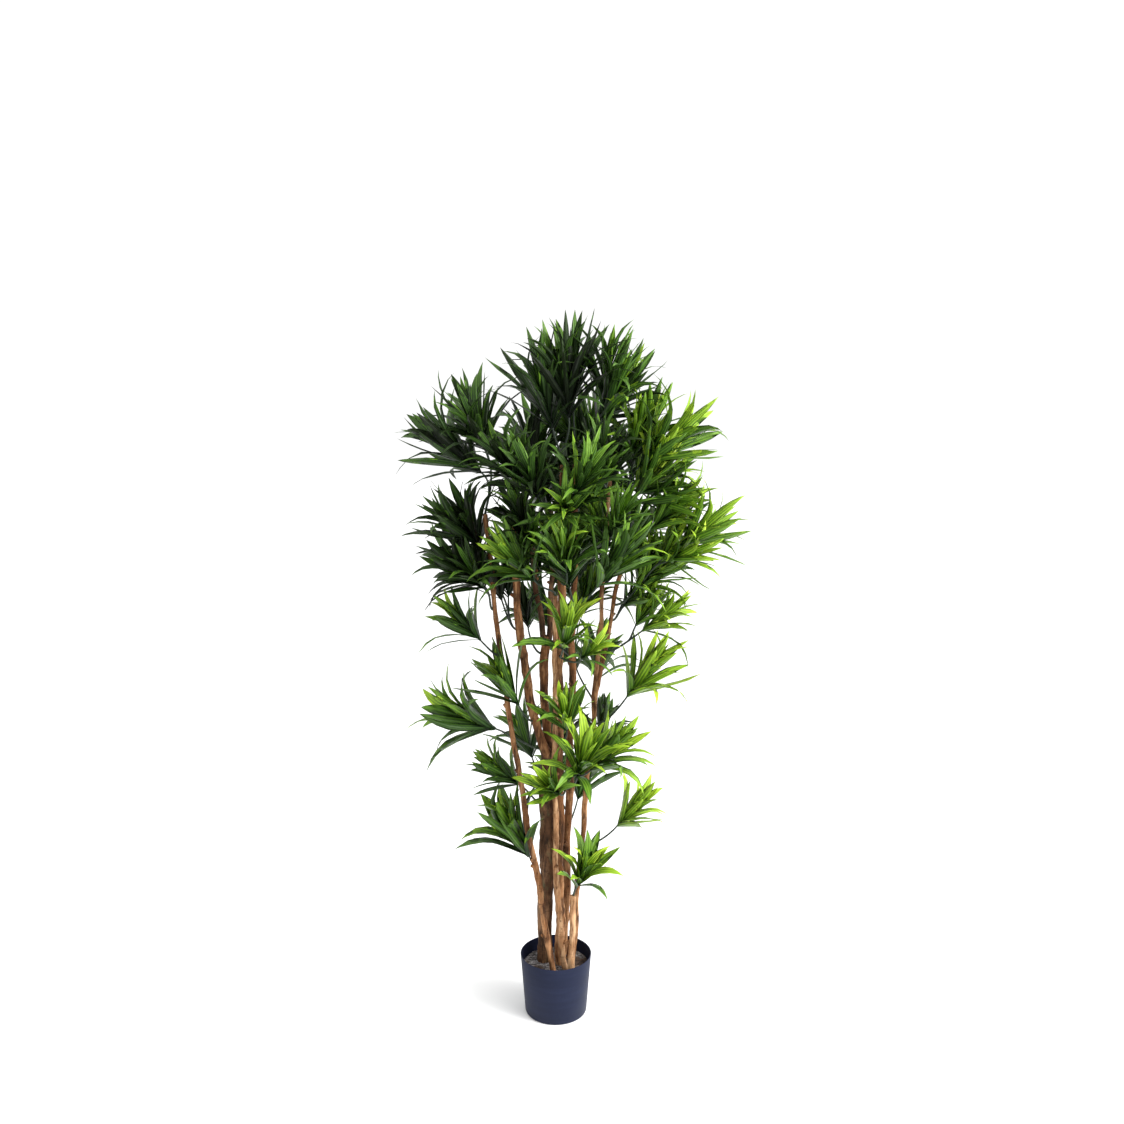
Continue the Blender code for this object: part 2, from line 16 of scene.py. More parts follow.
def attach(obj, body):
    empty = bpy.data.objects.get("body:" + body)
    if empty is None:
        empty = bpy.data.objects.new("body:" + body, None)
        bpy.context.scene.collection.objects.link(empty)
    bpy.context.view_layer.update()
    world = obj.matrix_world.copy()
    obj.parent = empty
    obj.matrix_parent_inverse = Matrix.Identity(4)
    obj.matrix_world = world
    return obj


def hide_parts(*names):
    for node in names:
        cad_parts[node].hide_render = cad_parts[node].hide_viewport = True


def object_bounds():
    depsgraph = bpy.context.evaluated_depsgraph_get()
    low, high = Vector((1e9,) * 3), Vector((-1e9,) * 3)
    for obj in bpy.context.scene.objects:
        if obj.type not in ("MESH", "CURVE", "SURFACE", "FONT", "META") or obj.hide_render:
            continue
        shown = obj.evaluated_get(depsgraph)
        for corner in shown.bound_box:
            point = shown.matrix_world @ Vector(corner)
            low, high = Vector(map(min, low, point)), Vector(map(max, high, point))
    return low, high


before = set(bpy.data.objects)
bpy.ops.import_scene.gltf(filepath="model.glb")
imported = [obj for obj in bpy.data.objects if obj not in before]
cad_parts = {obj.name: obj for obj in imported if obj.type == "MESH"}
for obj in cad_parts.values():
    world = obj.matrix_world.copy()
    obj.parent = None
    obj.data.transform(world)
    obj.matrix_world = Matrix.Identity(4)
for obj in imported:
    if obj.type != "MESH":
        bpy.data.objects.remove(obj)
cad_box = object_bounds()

# The sizes that the solids are made from.
GAP = 0.0003
POT_HEIGHT = 0.155
POT_RIM_RADIUS = 0.092
POT_FOOT_RADIUS = 0.080
POT_WALL = 0.0025
POT_FLOOR = 0.0035
POT_FOOT_CHAMFER = 0.003
FILL_TOP = 0.122
WOBBLE = 0.0022
WOBBLE_BEAT = (23.0, 19.0)
WOBBLE_FADE = 8.0
KNOBBLE = 0.05
KNOBBLE_BEAT = 41.0
STALK_PULL = (0.20, 0.42)
GOLDEN_ANGLE = radians(137.5)
SHOOT_SHARE = 0.24
LAST_ROOT = 0.94

# Finer than the solids, and then what only this file adds. First the pot and its filling.
POT_STEPS = 160
LIP = 0.0009  # rounding of the pot's upper edges
LIP_BEND = 0.3  # where the point halfway round it lies, over its size
SOLE_HOLLOW = 0.0016  # by which the middle of the underside is raised
SOLE_RING = (0.012, 0.010)  # in from the foot's edge, where that ends and the ring it stands on begins
FOOT_BEND = (0.0008, 0.0011)  # a point on the foot's rounded edge, in from the edge and up
FILL_RINGS, FILL_SPOKES = 34, 110
FILL_MARGIN = 0.002  # over which the crust dies away by the pot's wall
FILL_RELIEF = 0.0088
CRUMBS = 42000.0  # loose crumbs of filling on a square metre
CRUMB_RADIUS = 0.0011
CRUMB_SIZES = ((0.4, 0.4, 0.3), (1.5, 1.2, 0.9))  # smallest and largest, over that radius
CRUMB_TURNS = ((0.0, 0.0, 0.0), (6.283, 6.283, 6.283))  # round each axis
CRUMB_SEED = 5

# The wood.
LIMB_STEP = 0.006  # between the points of a limb's path
LIMB_SIDES = 28
FORK_DEPTH = 0.045  # how far a bough's bark reaches down into the wood that carries it
FORK_SHARES = (0.0, 0.25, 0.5, 0.75)  # points on that stretch
FORK_GIRTH = (0.7, 1.0)  # its radius at either end, over the bough's
KNOTS_A_METRE = 10
KNOT_SIZE = (0.04, 0.20)  # by which a knot thickens the wood, over its radius
KNOT_REACH = 0.0075  # half the height of a knot
KINK = 0.0034  # how far natural wood strays from the solids' line
KINK_BEAT = 15.0  # kinks on a metre
KINK_FADE = 14.0  # they die away over a fourteenth of the limb at either end
KINK_SHIFT = Vector((0, 7.3, 0))  # from the noise that moves the wood in X to that in Y
BARK_RELIEF = 0.16  # over the girth
BARK_RIDGES = 95.0  # on a metre
BARK_CREASE = radians(50)  # edges that turn by more than this look sharp
STUBS_A_METRE = 5.0
STUB_SIZE = (0.0035, 0.0075)
STUB_MOST = 0.62  # over the wood's radius
STUB_HEIGHTS = (0.06, 0.94)  # over the limb's height
STUB_START = 0.72  # how far from the wood's middle a stub starts, over the wood's radius
STUB_LEAN = (15, 50)  # degrees above level
STUB_RELIEF = 0.0022
STUB_SIDES = 10
# A stub is a tapering peg with a sawn, hollow end: its radius and height, over the size of the stub.
STUB_PROFILE = [(1.35, -0.6), (1.1, 0.1), (0.92, 1.0), (0.86, 1.75), (0.62, 1.85), (0.22, 1.72)]

# The stalks and their shoots.
STALK_POINTS = 22  # steps along a stalk's curve, and then along its head
HEAD_POINTS = 6
FORK_POINT = 5
STALK_SIDES = 8
STALK_GIRTH = (0.0031, 0.0019)  # radius where it is plugged in, and at the last leaf
STALK_RELIEF = 0.05
STALK_RIDGES = 200.0
TIP_PLUG = 0.002  # how deep a stalk starts in its carrier's tip
SIDE_PLUG = 0.7  # and beside that, how far from the wood's middle, over the wood's radius
HEAD_SPARE = 0.006  # a side shoot's leaves begin no nearer to the wood
SIDE_SHOOTS_FROM, SIDE_SHOOTS_TO = 0.99, 1.48  # a shoot that ends between these heights has side shoots
SIDE_SHOOTS = 2  # at most
SIDE_START = (0.30, 0.86)  # where they leave their shoot, over its stalk
SIDE_LEAN = (0.35, 0.95)  # tangent of the angle at which they leave it
SIDE_REACH = (0.06, 0.26)  # from there to their leaves, over the length of the shoot's head
SIDE_LENGTH = (0.78, 0.95)  # length of their heads, over that too
CROWN_HEART = (0.02, 0.0, 1.30)
INNER = 0.90  # a side shoot ends nearer to the heart than this share of its shoot's distance

# The leaves. Two values are for the lowest leaf of a head and its top leaf, where nothing else is said.
LEAVES_A_HEAD = 9
LEAVES_A_METRE = 60
TURN_JITTER = 0.35  # radians
LEAF_SHARE = (0.92, 0.84)  # leaf length over the head's length
LENGTH_JITTER = (0.80, 1.05)
LEAF_SPREAD = (48.0, 6.0)  # degrees between leaf and stalk
SPREAD_EASE = 0.8  # below 1, the spread changes faster by the lowest leaf
SPREAD_JITTER = 7.0
OPENING = (0.72, 0.25)  # share of the spread at the ground, and what a metre of height adds
LEAF_WIDTH = (0.215, 0.098)  # over the leaf's length, at the ground and at the top of the crown
WIDTH_JITTER = (0.85, 1.15)
LEAF_THICKNESS = 0.0009
LEAF_ROOT = 0.4  # how far from the stalk's middle a leaf begins, over the stalk's radius
LEAF_ROWS = (0.0, 0.07, 0.19, 0.34, 0.50, 0.66, 0.81, 0.93, 1.0)
WIDE_FROM, WIDE_TO = 0.40, 0.58  # stretch of a leaf at its full width, over its length
ROOT_WIDTH = 0.26  # over its full width
TIP_EASE = 1.8  # above 1, a leaf narrows mostly by its tip
MARGIN_SHARE = 0.58  # where a leaf's paler margin begins, over its half width
WIRY_FROM = 0.20  # heads longer than this have wiry leaves, narrow and curled
WIRY_EVERY, WIRY_FIRST = 11, 4
WIRY_SIZE = (0.97, 0.6)  # their length and width over a plain leaf's
WIRY_HOOK = (-1.3, 0.9)
WIRY_TWIST = 2.2
LEAF_BEND = (16.0, 4.0)  # degrees by which a leaf arches
BEND_JITTER = (-0.4, 1.5)
LEAF_HOOK = (-0.25, 0.95)  # radians by which its tip turns on
LEAF_DRAWS = {  # twist in radians, fold over the half width, wave over the length, and where the waves start
    "twist": (-0.5, 0.5), "fold": (0.10, 0.42), "wave": (0.002, 0.010), "beat": (0, 6.28),
}
LEAF_SAG = 0.15  # how much its own weight adds to its bend
SAG_JITTER = (0.2, 1.2)
LEAF_PROBES = (0.35, 0.55, 0.75, 0.95)  # places on a leaf that stay clear of the wood, over its length
LEAF_SPARE = 0.002  # by at least this
SPRAY_TINTS = {"leaf_deep": 1.5, "leaf_mid": 3.1, "leaf_lime": 4.2}  # number of a spray's plainest green
PAINTED_LIGHT_STEPS = {  # painted light and shade: greens by which single sprays are paler where lit or, below 0, darker where shaded, than that
    "spray_low_right": 2.6, "spray_right_a": 1.1, "spray_right_b": 0.9, "spray_left_b": 0.4,
    "spray_crown_right_a": 0.9, "spray_crown_right_b": 0.4, "spray_crown_right_c": 0.9,
    "spray_crown_front_e": -0.6, "spray_far_8": -1.4, "spray_far_9": -0.7,
}
YOUNG_TINT = 1.4  # how many greens paler its youngest leaves are
YOUNG_EASE = 1.5  # above 1, mostly the top leaves are paler
TINT_JITTER = 0.9
STRIPES = (-1, 0, 1, 1)  # how many greens paler a leaf's margins are
PROUD = 0.008  # how far a leaf may reach past the solids to the sides
TOP_SPARE = 0.001  # and how far it stays under their top

# Colours.
BARKS = {  # the deep, the main and the pale tone of the wood, and its share of moss
    "bark_red": ((0.045, 0.019, 0.008), (0.195, 0.080, 0.029), (0.50, 0.262, 0.122), 0.0),
    "bark_tan": ((0.110, 0.048, 0.020), (0.37, 0.187, 0.085), (0.70, 0.445, 0.250), 0.0),
    "bark_dark": ((0.024, 0.012, 0.006), (0.098, 0.046, 0.021), (0.27, 0.145, 0.074), 0.6),
}
MOSS = (0.105, 0.105, 0.052)
GREENS = (
    (0.007, 0.013, 0.004), (0.015, 0.034, 0.007), (0.032, 0.078, 0.012), (0.060, 0.144, 0.017),
    (0.112, 0.240, 0.021), (0.205, 0.370, 0.026), (0.290, 0.465, 0.034), (0.380, 0.545, 0.050),
)
STALK_COLOURS = ((0.010, 0.022, 0.012), (0.030, 0.050, 0.026))
POT_COLOURS = ((0.0100, 0.0140, 0.0345), (0.0136, 0.0186, 0.0445))
POT_CREASE = radians(40)
CRUST_COLOURS = ((0.040, 0.033, 0.031), (0.45, 0.43, 0.435))
EARTH_COLOURS = ((0.024, 0.015, 0.012), (0.125, 0.078, 0.052))

# The studio. Its glows change over these stretches of the unit vector that points away from the tree.
FLOOR_SIZE, FLOOR_LEVEL = 60.0, -0.0002
FLOOR_COLOURS = ((0.96, 0.96, 0.96), (0.97, 0.97, 0.97))
WALL_GLOW = (0.88, 1.06, 1.6)  # brightness of the studio behind the tree: far left, middle and far right
WALL_LEFT, WALL_RIGHT = (-0.9, -0.55), (0.55, 0.9)
ROOM_GLOW = (0.76, 0.95)  # and on this side of it, on the left and on the right
ROOM_ACROSS = (-0.6, 0.7)
ROOM_TO_WALL = (-0.75, -0.05)
STUDIO_LAMPS = [
    ("sun", "SUN", 1.7, {"angle": radians(44)}, (3.0, -1.5, 3.6), (0.0, 0.0, 0.0)),
    ("key", "AREA", 105.0, {"size": 1.4}, (2.6, -1.2, 2.4), (0.0, 0.0, 0.9)),
    ("fill", "AREA", 11.0, {"size": 2.4}, (-2.8, -2.6, 1.8), (0.0, 0.0, 0.8)),
]
CAMERA_PLACE = (0.016, -2.46, 1.5)
CAMERA_TILT = radians(82.6)  # from straight down
FOCAL_SHARE = 1002.0 / 1124.0  # focal length over the sensor's width

# A limb rises from foot to tip and bows sideways by bow, most at half its height where the skew is 1,
# lower down under 1 and higher up over 1.
Limb = namedtuple("Limb", "name tint foot tip bow skew foot_radius tip_radius")
FORK = 0.690  # height where the thickest stem forks
UPPER_FORK = 0.985  # height where its right-hand bough forks again
ON_FILL = FILL_TOP + GAP
LIMBS = [
    Limb("stem_left_slim", "bark_red", (-0.006, -0.046, ON_FILL), (-0.172, -0.012, 1.300),
         (-0.013, -0.004), 1.3, 0.0082, 0.0055),
    Limb("stem_thick", "bark_dark", (-0.031, 0.020, ON_FILL), (-0.018, 0.024, FORK),
         (0.002, 0.0), 1.0, 0.0190, 0.0215),
    Limb("stem_centre", "bark_red", (0.011, 0.000, ON_FILL), (0.020, 0.000, 1.420),
         (-0.006, 0.0), 1.0, 0.0125, 0.0090),
    Limb("stem_front", "bark_tan", (0.026, -0.026, ON_FILL), (0.000, -0.024, 1.100),
         (-0.017, -0.004), 0.6, 0.0080, 0.0055),
    Limb("stem_short", "bark_tan", (0.040, -0.047, ON_FILL), (0.045, -0.049, 0.334),
         (-0.002, 0.0), 1.0, 0.0088, 0.0074),
    Limb("stem_right_inner", "bark_tan", (0.032, 0.028, ON_FILL), (0.138, 0.038, 1.440),
         (0.012, 0.006), 0.8, 0.0064, 0.0052),
    Limb("stem_right_outer", "bark_red", (0.043, 0.011, ON_FILL), (0.188, 0.016, 1.260),
         (-0.030, 0.002), 1.3, 0.0064, 0.0052),
    Limb("stem_back", "bark_red", (0.020, 0.052, ON_FILL), (0.050, 0.048, 1.420),
         (0.004, 0.004), 1.0, 0.0115, 0.0072),
    Limb("bough_left", "bark_red", (-0.0225, 0.0115, FORK + GAP), (-0.107, 0.000, 1.310),
         (-0.025, -0.004), 0.7, 0.0115, 0.0085),
    Limb("bough_middle", "bark_red", (-0.0125, 0.0330, FORK + GAP), (-0.024, 0.046, UPPER_FORK),
         (-0.013, 0.004), 1.0, 0.0105, 0.0115),
    Limb("bough_upper_left", "bark_dark", (-0.0325, 0.046, UPPER_FORK + GAP), (-0.062, 0.054, 1.320),
         (-0.006, 0.0), 1.0, 0.0075, 0.0050),
    Limb("bough_upper_right", "bark_dark", (-0.0155, 0.046, UPPER_FORK + GAP), (-0.010, 0.052, 1.320),
         (0.004, 0.006), 1.0, 0.0078, 0.0050),
]
CARRIERS = {limb.name: limb for limb in LIMBS}

# A spray's stalk is plugged into its carrier, at that height, or at the tip where plug is None. Its heads
# of leaves stand at azimuth, reach and rise from the plug, and lean towards lean_azimuth at lean_angle.
Head = namedtuple("Head", "azimuth reach rise lean_azimuth lean_angle length")
Spray = namedtuple("Spray", "name tint carrier plug heads")
SPRAY_ROWS = [  # name, tint, carrier, plug and heads, in millimetres and degrees
    # low on the stems
    ("low_front", "lime", "stem_short", None, (300, 14, 28, 312, 62, 155)),
    ("low_right", "lime", "stem_right_outer", 440, (0, 88, 52, 0, 50, 150)),
    ("low_left", "mid", "stem_thick", 355, (200, 48, 58, 187, 61, 215)),
    ("left_a", "mid", "stem_thick", 550, (188, 68, 50, 185, 38, 165)),
    ("front_a", "lime", "stem_centre", 600, (300, 90, 55, 290, 58, 180), (272, 75, 10, 240, 40, 140)),
    ("front_b", "lime", "stem_centre", 640, (330, 90, 20, 350, 48, 180)),
    ("left_b", "mid", "bough_left", 700, (193, 125, 60, 186, 22, 215)),
    ("left_c", "mid", "bough_left", 775, (232, 60, 50, 198, 64, 190)),
    ("front_c", "lime", "stem_centre", 730, (290, 55, 35, 262, 68, 150)),
    ("back_right_a", "deep", "stem_right_inner", 650, (55, 50, 40, 70, 62, 140)),
    ("right_a", "lime", "stem_right_outer", 765, (335, 90, 78, 352, 56, 205)),
    ("left_d", "mid", "stem_left_slim", 950, (172, 52, 36, 180, 47, 170)),
    ("right_b", "lime", "stem_right_outer", 950, (350, 92, 55, 0, 36, 170)),
    ("front_d", "lime", "stem_centre", 945, (276, 90, 34, 288, 58, 160), (312, 75, 0, 320, 42, 115)),
    ("back_left_a", "deep", "bough_middle", 940, (195, 42, 65, 120, 72, 120)),
    # the crown's lower tier
    ("crown_front_a", "mid", "stem_centre", 1060, (302, 155, 78, 328, 52, 215)),
    ("crown_right_a", "mid", "stem_right_outer", 1030, (20, 64, 78, 7, 31, 175), (38, 85, 85, 32, 58, 160)),
    ("crown_right_b", "lime", "stem_right_outer", 1070, (352, 160, 150, 0, 32, 190),
     (10, 150, 165, 12, 68, 160)),
    ("crown_right_c", "mid", "stem_right_outer", 1190, (327, 70, 72, 0, 46, 170)),
    ("crown_front_b", "mid", "stem_centre", 1130, (276, 120, 38, 262, 56, 165)),
    ("crown_front_c", "mid", "stem_front", None, (240, 95, 48, 212, 44, 185)),
    ("crown_front_d", "mid", "stem_right_inner", 1195, (273, 122, 50, 296, 60, 155)),
    ("crown_left_a", "deep", "stem_left_slim", 1065, (195, 27, 60, 187, 38, 195)),
    ("crown_left_b", "deep", "bough_left", 1010, (157, 48, 70, 178, 72, 150), (165, 60, 110, 160, 44, 190)),
    ("crown_left_c", "deep", "stem_left_slim", 1165, (200, 29, 60, 188, 38, 200)),
    ("crown_left_d", "deep", "bough_left", 1205, (297, 75, 48, 236, 60, 165)),
    # the crown's upper tier
    ("crown_front_e", "mid", "stem_centre", 1280, (281, 128, 64, 300, 52, 185)),
    ("crown_front_f", "deep", "stem_centre", 1310, (240, 115, 38, 238, 56, 175)),
    ("crown_front_g", "deep", "stem_right_inner", 1360, (258, 112, 52, 264, 60, 155)),
    ("top_left_a", "deep", "stem_left_slim", None, (150, 8, 100, 184, 41, 245), (80, 22, 150, 178, 68, 222)),
    ("top_left_b", "deep", "bough_left", None, (280, 72, 78, 228, 50, 175)),
    ("top_left_c", "deep", "bough_upper_left", None, (60, 15, 85, 118, 74, 190)),
    ("top_right_a", "lime", "stem_right_outer", None, (300, 30, 155, 354, 42, 240),
     (70, 30, 180, 22, 67, 200)),
    ("top_a", "deep", "stem_centre", None, (180, 26, 85, 185, 77, 240), (340, 14, 110, 200, 84, 240)),
    ("top_b", "deep", "stem_back", None, (250, 18, 155, 250, 88, 228), (5, 50, 100, 12, 50, 215)),
    ("top_c", "mid", "stem_right_inner", None, (205, 26, 92, 358, 69, 230), (150, 20, 130, 30, 84, 210)),
]

# The far side carries sprays at even steps up its stems, swinging from side to side.
FAR_CARRIERS = [
    ("stem_back", 0.480), ("stem_thick", 0.600), ("stem_right_inner", 0.800), ("stem_back", 0.930),
    ("bough_upper_left", 1.050), ("stem_back", 1.080), ("stem_right_inner", 1.120),
    ("bough_upper_right", 1.230), ("stem_right_inner", 1.290), ("stem_back", 1.330),
]
FAR_TINT = "leaf_mid"
FAR_SWING = (20.4, 13.6)  # degrees to either side of straight back: the mean, and what SWING_BEAT adds
SWING_BEAT = 2.4
FAR_RISE = 0.5  # rise of a far spray's first head over its reach
FAR_SECOND = (0.7, 0.9, 0.9)  # reach and rise of its second head over the first's reach, and their lengths
FAR_FORK = 46.0  # degrees by which the second head of a far spray turns away from the first
FAR_LIFT = 14.0  # degrees by which it stands steeper
FAR_REACH = (0.080, 0.155)  # lowest and highest far spray
FAR_LENGTH = (0.165, 0.220)
FAR_LEAN = (48.0, 40.0)


def node_maker(operation, reflected=False):
    """A method of Wire that adds the node of an operation, with the wire last where it is reflected."""
    if reflected:
        return lambda wire, other: wire.worked(operation, other, wire)
    return lambda wire, *others: wire.worked(operation, wire, *others)


class Wire:
    """A socket that takes part in sums: each operator adds the Math or Vector Math node for it."""

    def __init__(self, tree, socket):
        self.tree, self.socket = tree, socket

    def worked(self, operation, *values):
        """The result of an operation, worked on vectors where one of its values is a vector."""
        vectors = any(
            isinstance(value, tuple) or (isinstance(value, Wire) and value.socket.type == "VECTOR")
            for value in values
        )
        if vectors:
            values = [(value,) * 3 if isinstance(value, (int, float)) else value for value in values]
        kind = "ShaderNodeVectorMath" if vectors else "ShaderNodeMath"
        return self.tree.node(kind, dict(enumerate(values)), operation=operation)

    __add__, __radd__ = node_maker("ADD"), node_maker("ADD", True)
    __sub__, __rsub__ = node_maker("SUBTRACT"), node_maker("SUBTRACT", True)
    __mul__, __rmul__ = node_maker("MULTIPLY"), node_maker("MULTIPLY", True)
    __pow__, __gt__ = node_maker("POWER"), node_maker("GREATER_THAN")
    sine, cosine, size = node_maker("SINE"), node_maker("COSINE"), node_maker("ABSOLUTE")


class Tree:
    """A node tree under construction, of a material, the world or Geometry Nodes."""

    def __init__(self, inner):
        self.inner = inner

    def node(self, kind, values=None, out=0, **settings):
        """Adds a node with its settings and the values or links of its sockets, and returns one output."""
        made = self.inner.nodes.new(kind)
        for name, value in settings.items():
            setattr(made, name, value)
        live = [socket for socket in made.inputs if socket.enabled]
        for key, value in (values or {}).items():
            socket = live[key] if isinstance(key, int) else next(s for s in live if s.name == key)
            self.feed(socket, value)
        outputs = [socket for socket in made.outputs if socket.enabled]
        if not outputs:
            return made
        return Wire(self, outputs[out] if isinstance(out, int) else made.outputs[out])

    def feed(self, socket, value):
        """Gives a socket a link or a plain value."""
        if isinstance(value, list):
            for each in value:
                self.feed(socket, each)
        elif isinstance(value, Wire):
            self.inner.links.new(value.socket, socket)
        elif socket.type == "RGBA":
            socket.default_value = (*value[:3], 1.0)
        else:
            socket.default_value = value

    def mixed(self, share, first, second):
        """Two colours mixed by a share."""
        return self.node("ShaderNodeMix", {"Factor": share, "A": first, "B": second}, data_type="RGBA")

    def noise(self, place, scale, detail=3.0, rough=0.5):
        """A noise from 0 to 1 at a place."""
        values = {"Vector": place, "Scale": scale, "Detail": detail, "Roughness": rough}
        return self.node("ShaderNodeTexNoise", values)

    def smoothed(self, value, low, high):
        """0 below low and 1 above high, with a soft step between them."""
        values = {"Value": value, "From Min": low, "From Max": high}
        return self.node("ShaderNodeMapRange", values, interpolation_type="SMOOTHSTEP")


class Finish(Tree):
    """A material, with the place on the object that its patterns read."""

    def __init__(self, name):
        self.material = bpy.data.materials.new(name)
        self.material.use_nodes = True
        super().__init__(self.material.node_tree)
        self.place = self.node("ShaderNodeTexCoord", out="Object")

    def pattern(self, x, y, z, detail=3.0, rough=0.5):
        """A noise with so many waves to the metre along each axis."""
        return self.noise(self.place * (float(x), float(y), float(z)), 1.0, detail, rough)

    def done(self, colour, roughness, relief=None, specular=0.5):
        """Feeds the shader and returns the material. Relief is a height, its distance and its strength."""
        values = {"Base Color": colour, "Roughness": roughness, "Specular IOR Level": specular}
        if relief:
            labels = ("Height", "Distance", "Strength")
            values["Normal"] = self.node("ShaderNodeBump", dict(zip(labels, relief)))
        shader = self.inner.nodes["Principled BSDF"]
        for label, value in values.items():
            self.feed(shader.inputs[label], value)
        return self.material


def tinted(colour, *shares):
    """A colour with its red, green and blue scaled."""
    return tuple(share * part for share, part in zip(shares, colour))


def bark_finish(name, deep, main, pale, moss):
    """Dry natural bark: patches and flecks, with painted light that makes it paler by the ground, dark pores
    and rings, moss on old wood.
    """
    finish = Finish(name)
    height = finish.node("ShaderNodeSeparateXYZ", {0: finish.place}, out="Z")
    # painted light: low is 1 by the ground and feeds the pale flecks, so the lower stems look lit
    low = 1.0 - finish.smoothed(height, 0.14, 0.42)
    grain = finish.pattern(230, 230, 34, 5.0, 0.6)
    blotch = finish.pattern(34, 34, 15)
    bands = finish.pattern(60, 60, 17)
    rings = finish.pattern(16, 16, 250)
    pores = finish.smoothed(finish.pattern(210, 210, 120, 2.0), 0.62, 0.74)
    tone = finish.mixed(finish.smoothed(blotch + 0.5 * grain, 0.54, 0.88), deep, main)
    flecks = finish.smoothed(bands + 0.5 * grain + 0.09 * low, 0.70, 0.98)
    tone = finish.mixed(flecks * 0.75, tone, pale)
    tone = finish.mixed(finish.smoothed(rings, 0.60, 0.70) * 0.45, tone, deep)
    tone = finish.mixed(pores * 0.7, tone, tinted(deep, 0.35, 0.35, 0.35))
    if moss:
        patch = finish.smoothed(finish.pattern(34, 34, 14, 4.0), 0.54, 0.66)
        tone = finish.mixed(patch * moss, tone, MOSS)
    relief = (grain + 0.5 * rings - 0.8 * pores, 0.0016, 0.8)
    return finish.done(tone, 0.62 + 0.25 * grain, relief, 0.18)


def leaf_finish(name, colour):
    """A soft moulded leaf: fine dark lines along the blade, painted shade darkening the root and a paler
    tip.
    """
    finish = Finish(name)
    uneven = finish.noise(finish.place, 46.0, 2.0)
    across, along = (
        finish.node("ShaderNodeAttribute", out="Fac", attribute_name=label) for label in ("across", "along")
    )
    ribs = (across * 13.0).sine()
    lines = finish.smoothed(ribs + uneven * 1.4, 0.0, 1.4)
    body = finish.mixed(lines, tinted(colour, 0.48, 0.52, 0.6), tinted(colour, 1.2, 1.15, 1.0))
    # painted shade: towards its root the blade turns darker and bluer, like the shade at the heart of a head
    root = finish.mixed(lines, tinted(colour, 0.22, 0.28, 0.4), tinted(colour, 0.55, 0.65, 0.8))
    tip = tinted(colour, 1.35, 1.22, 1.1)
    shade = finish.mixed(finish.smoothed(along + 0.2 * uneven, 0.10, 0.55), root, body)
    shade = finish.mixed(finish.smoothed(along + 0.3 * uneven, 0.72, 1.15), shade, tip)
    return finish.done(shade, 0.34 + 0.14 * uneven, (ribs, 0.0005, 0.6), 0.22)


def stalk_finish():
    """Thin moulded plastic stalk, dark grey-green, with a faint bloom."""
    finish = Finish("stalk_green")
    uneven = finish.pattern(90, 90, 90)
    shade = finish.mixed(finish.smoothed(uneven, 0.35, 0.70), *STALK_COLOURS)
    return finish.done(shade, 0.42 + 0.2 * uneven, (uneven, 0.0008, 0.5))


def pot_finish():
    """Matt moulded plastic, dark blue-grey, with a fine grain and faint rub marks."""
    finish = Finish("pot_plastic")
    grain = finish.noise(finish.place, 1500.0, 2.0)
    rubs = finish.pattern(9, 9, 70, 4.0)
    shade = finish.mixed(finish.smoothed(rubs, 0.35, 0.75), *POT_COLOURS)
    return finish.done(shade, 0.40 + 0.16 * rubs, (grain, 0.0003, 0.35), 0.13)


def fill_finish():
    """Rough poured filling: a crust with pale grey strands on dark, and brown, earthy places."""
    finish = Finish("fill_crust")
    grit = finish.noise(finish.place, 420.0, 5.0, 0.7)
    stain = finish.noise(finish.place, 21.0)
    strands = finish.pattern(75, 300, 75, 3.0, 0.6)
    pale = finish.smoothed(0.6 * strands + 0.4 * grit, 0.44, 0.60)
    crust, earth = (finish.mixed(pale, *colours) for colours in (CRUST_COLOURS, EARTH_COLOURS))
    shade = finish.mixed(finish.smoothed(stain, 0.44, 0.58), crust, earth)
    return finish.done(shade, 0.92, (grit, 0.0022, 0.9))


class Growth(Tree):
    """A Geometry Nodes tree that takes a geometry, a finish and named inputs, all kept as wires in given."""

    def __init__(self, name, **inputs):
        super().__init__(bpy.data.node_groups.new(name, "GeometryNodeTree"))
        face = self.inner.interface
        face.new_socket("Geometry", in_out="INPUT", socket_type="NodeSocketGeometry")
        for label, kind in {**inputs, "Finish": "Material"}.items():
            face.new_socket(label.replace("_", " "), in_out="INPUT", socket_type="NodeSocket" + kind)
        face.new_socket("Geometry", in_out="OUTPUT", socket_type="NodeSocketGeometry")
        entry = self.inner.nodes.new("NodeGroupInput")
        self.given = {socket.name: Wire(self, socket) for socket in entry.outputs if socket.name}

    def attribute(self, name, kind="FLOAT"):
        """A named attribute of the geometry."""
        return self.node("GeometryNodeInputNamedAttribute", {"Name": name}, data_type=kind)

    def attributes(self, names, kind="FLOAT"):
        """The attributes of the names in a text."""
        return [self.attribute(name, kind) for name in names.split()]

    def passed(self, kind, shape, **values):
        """A geometry passed through a node."""
        return self.node("GeometryNode" + kind, {"Geometry": shape, **values})

    def copied(self, points, thing, **settings):
        """Real copies of an object on points."""
        copy = self.node("GeometryNodeObjectInfo", {"Object": thing}, out="Geometry")
        values = {"Points": points, "Instance": copy, **settings}
        return self.passed("RealizeInstances", self.node("GeometryNodeInstanceOnPoints", values))

    def dressed(self, shape, *shades):
        """Ends the tree: realizes instances and sets the finish, then each shade where it is chosen."""
        shape = self.passed("RealizeInstances", shape)
        shape = self.passed("SetMaterial", shape, Material=self.given["Finish"])
        for chosen, shade in shades:
            shape = self.passed("SetMaterial", shape, Selection=chosen, Material=shade)
        self.node("NodeGroupOutput", {"Geometry": shape})
        return self.inner


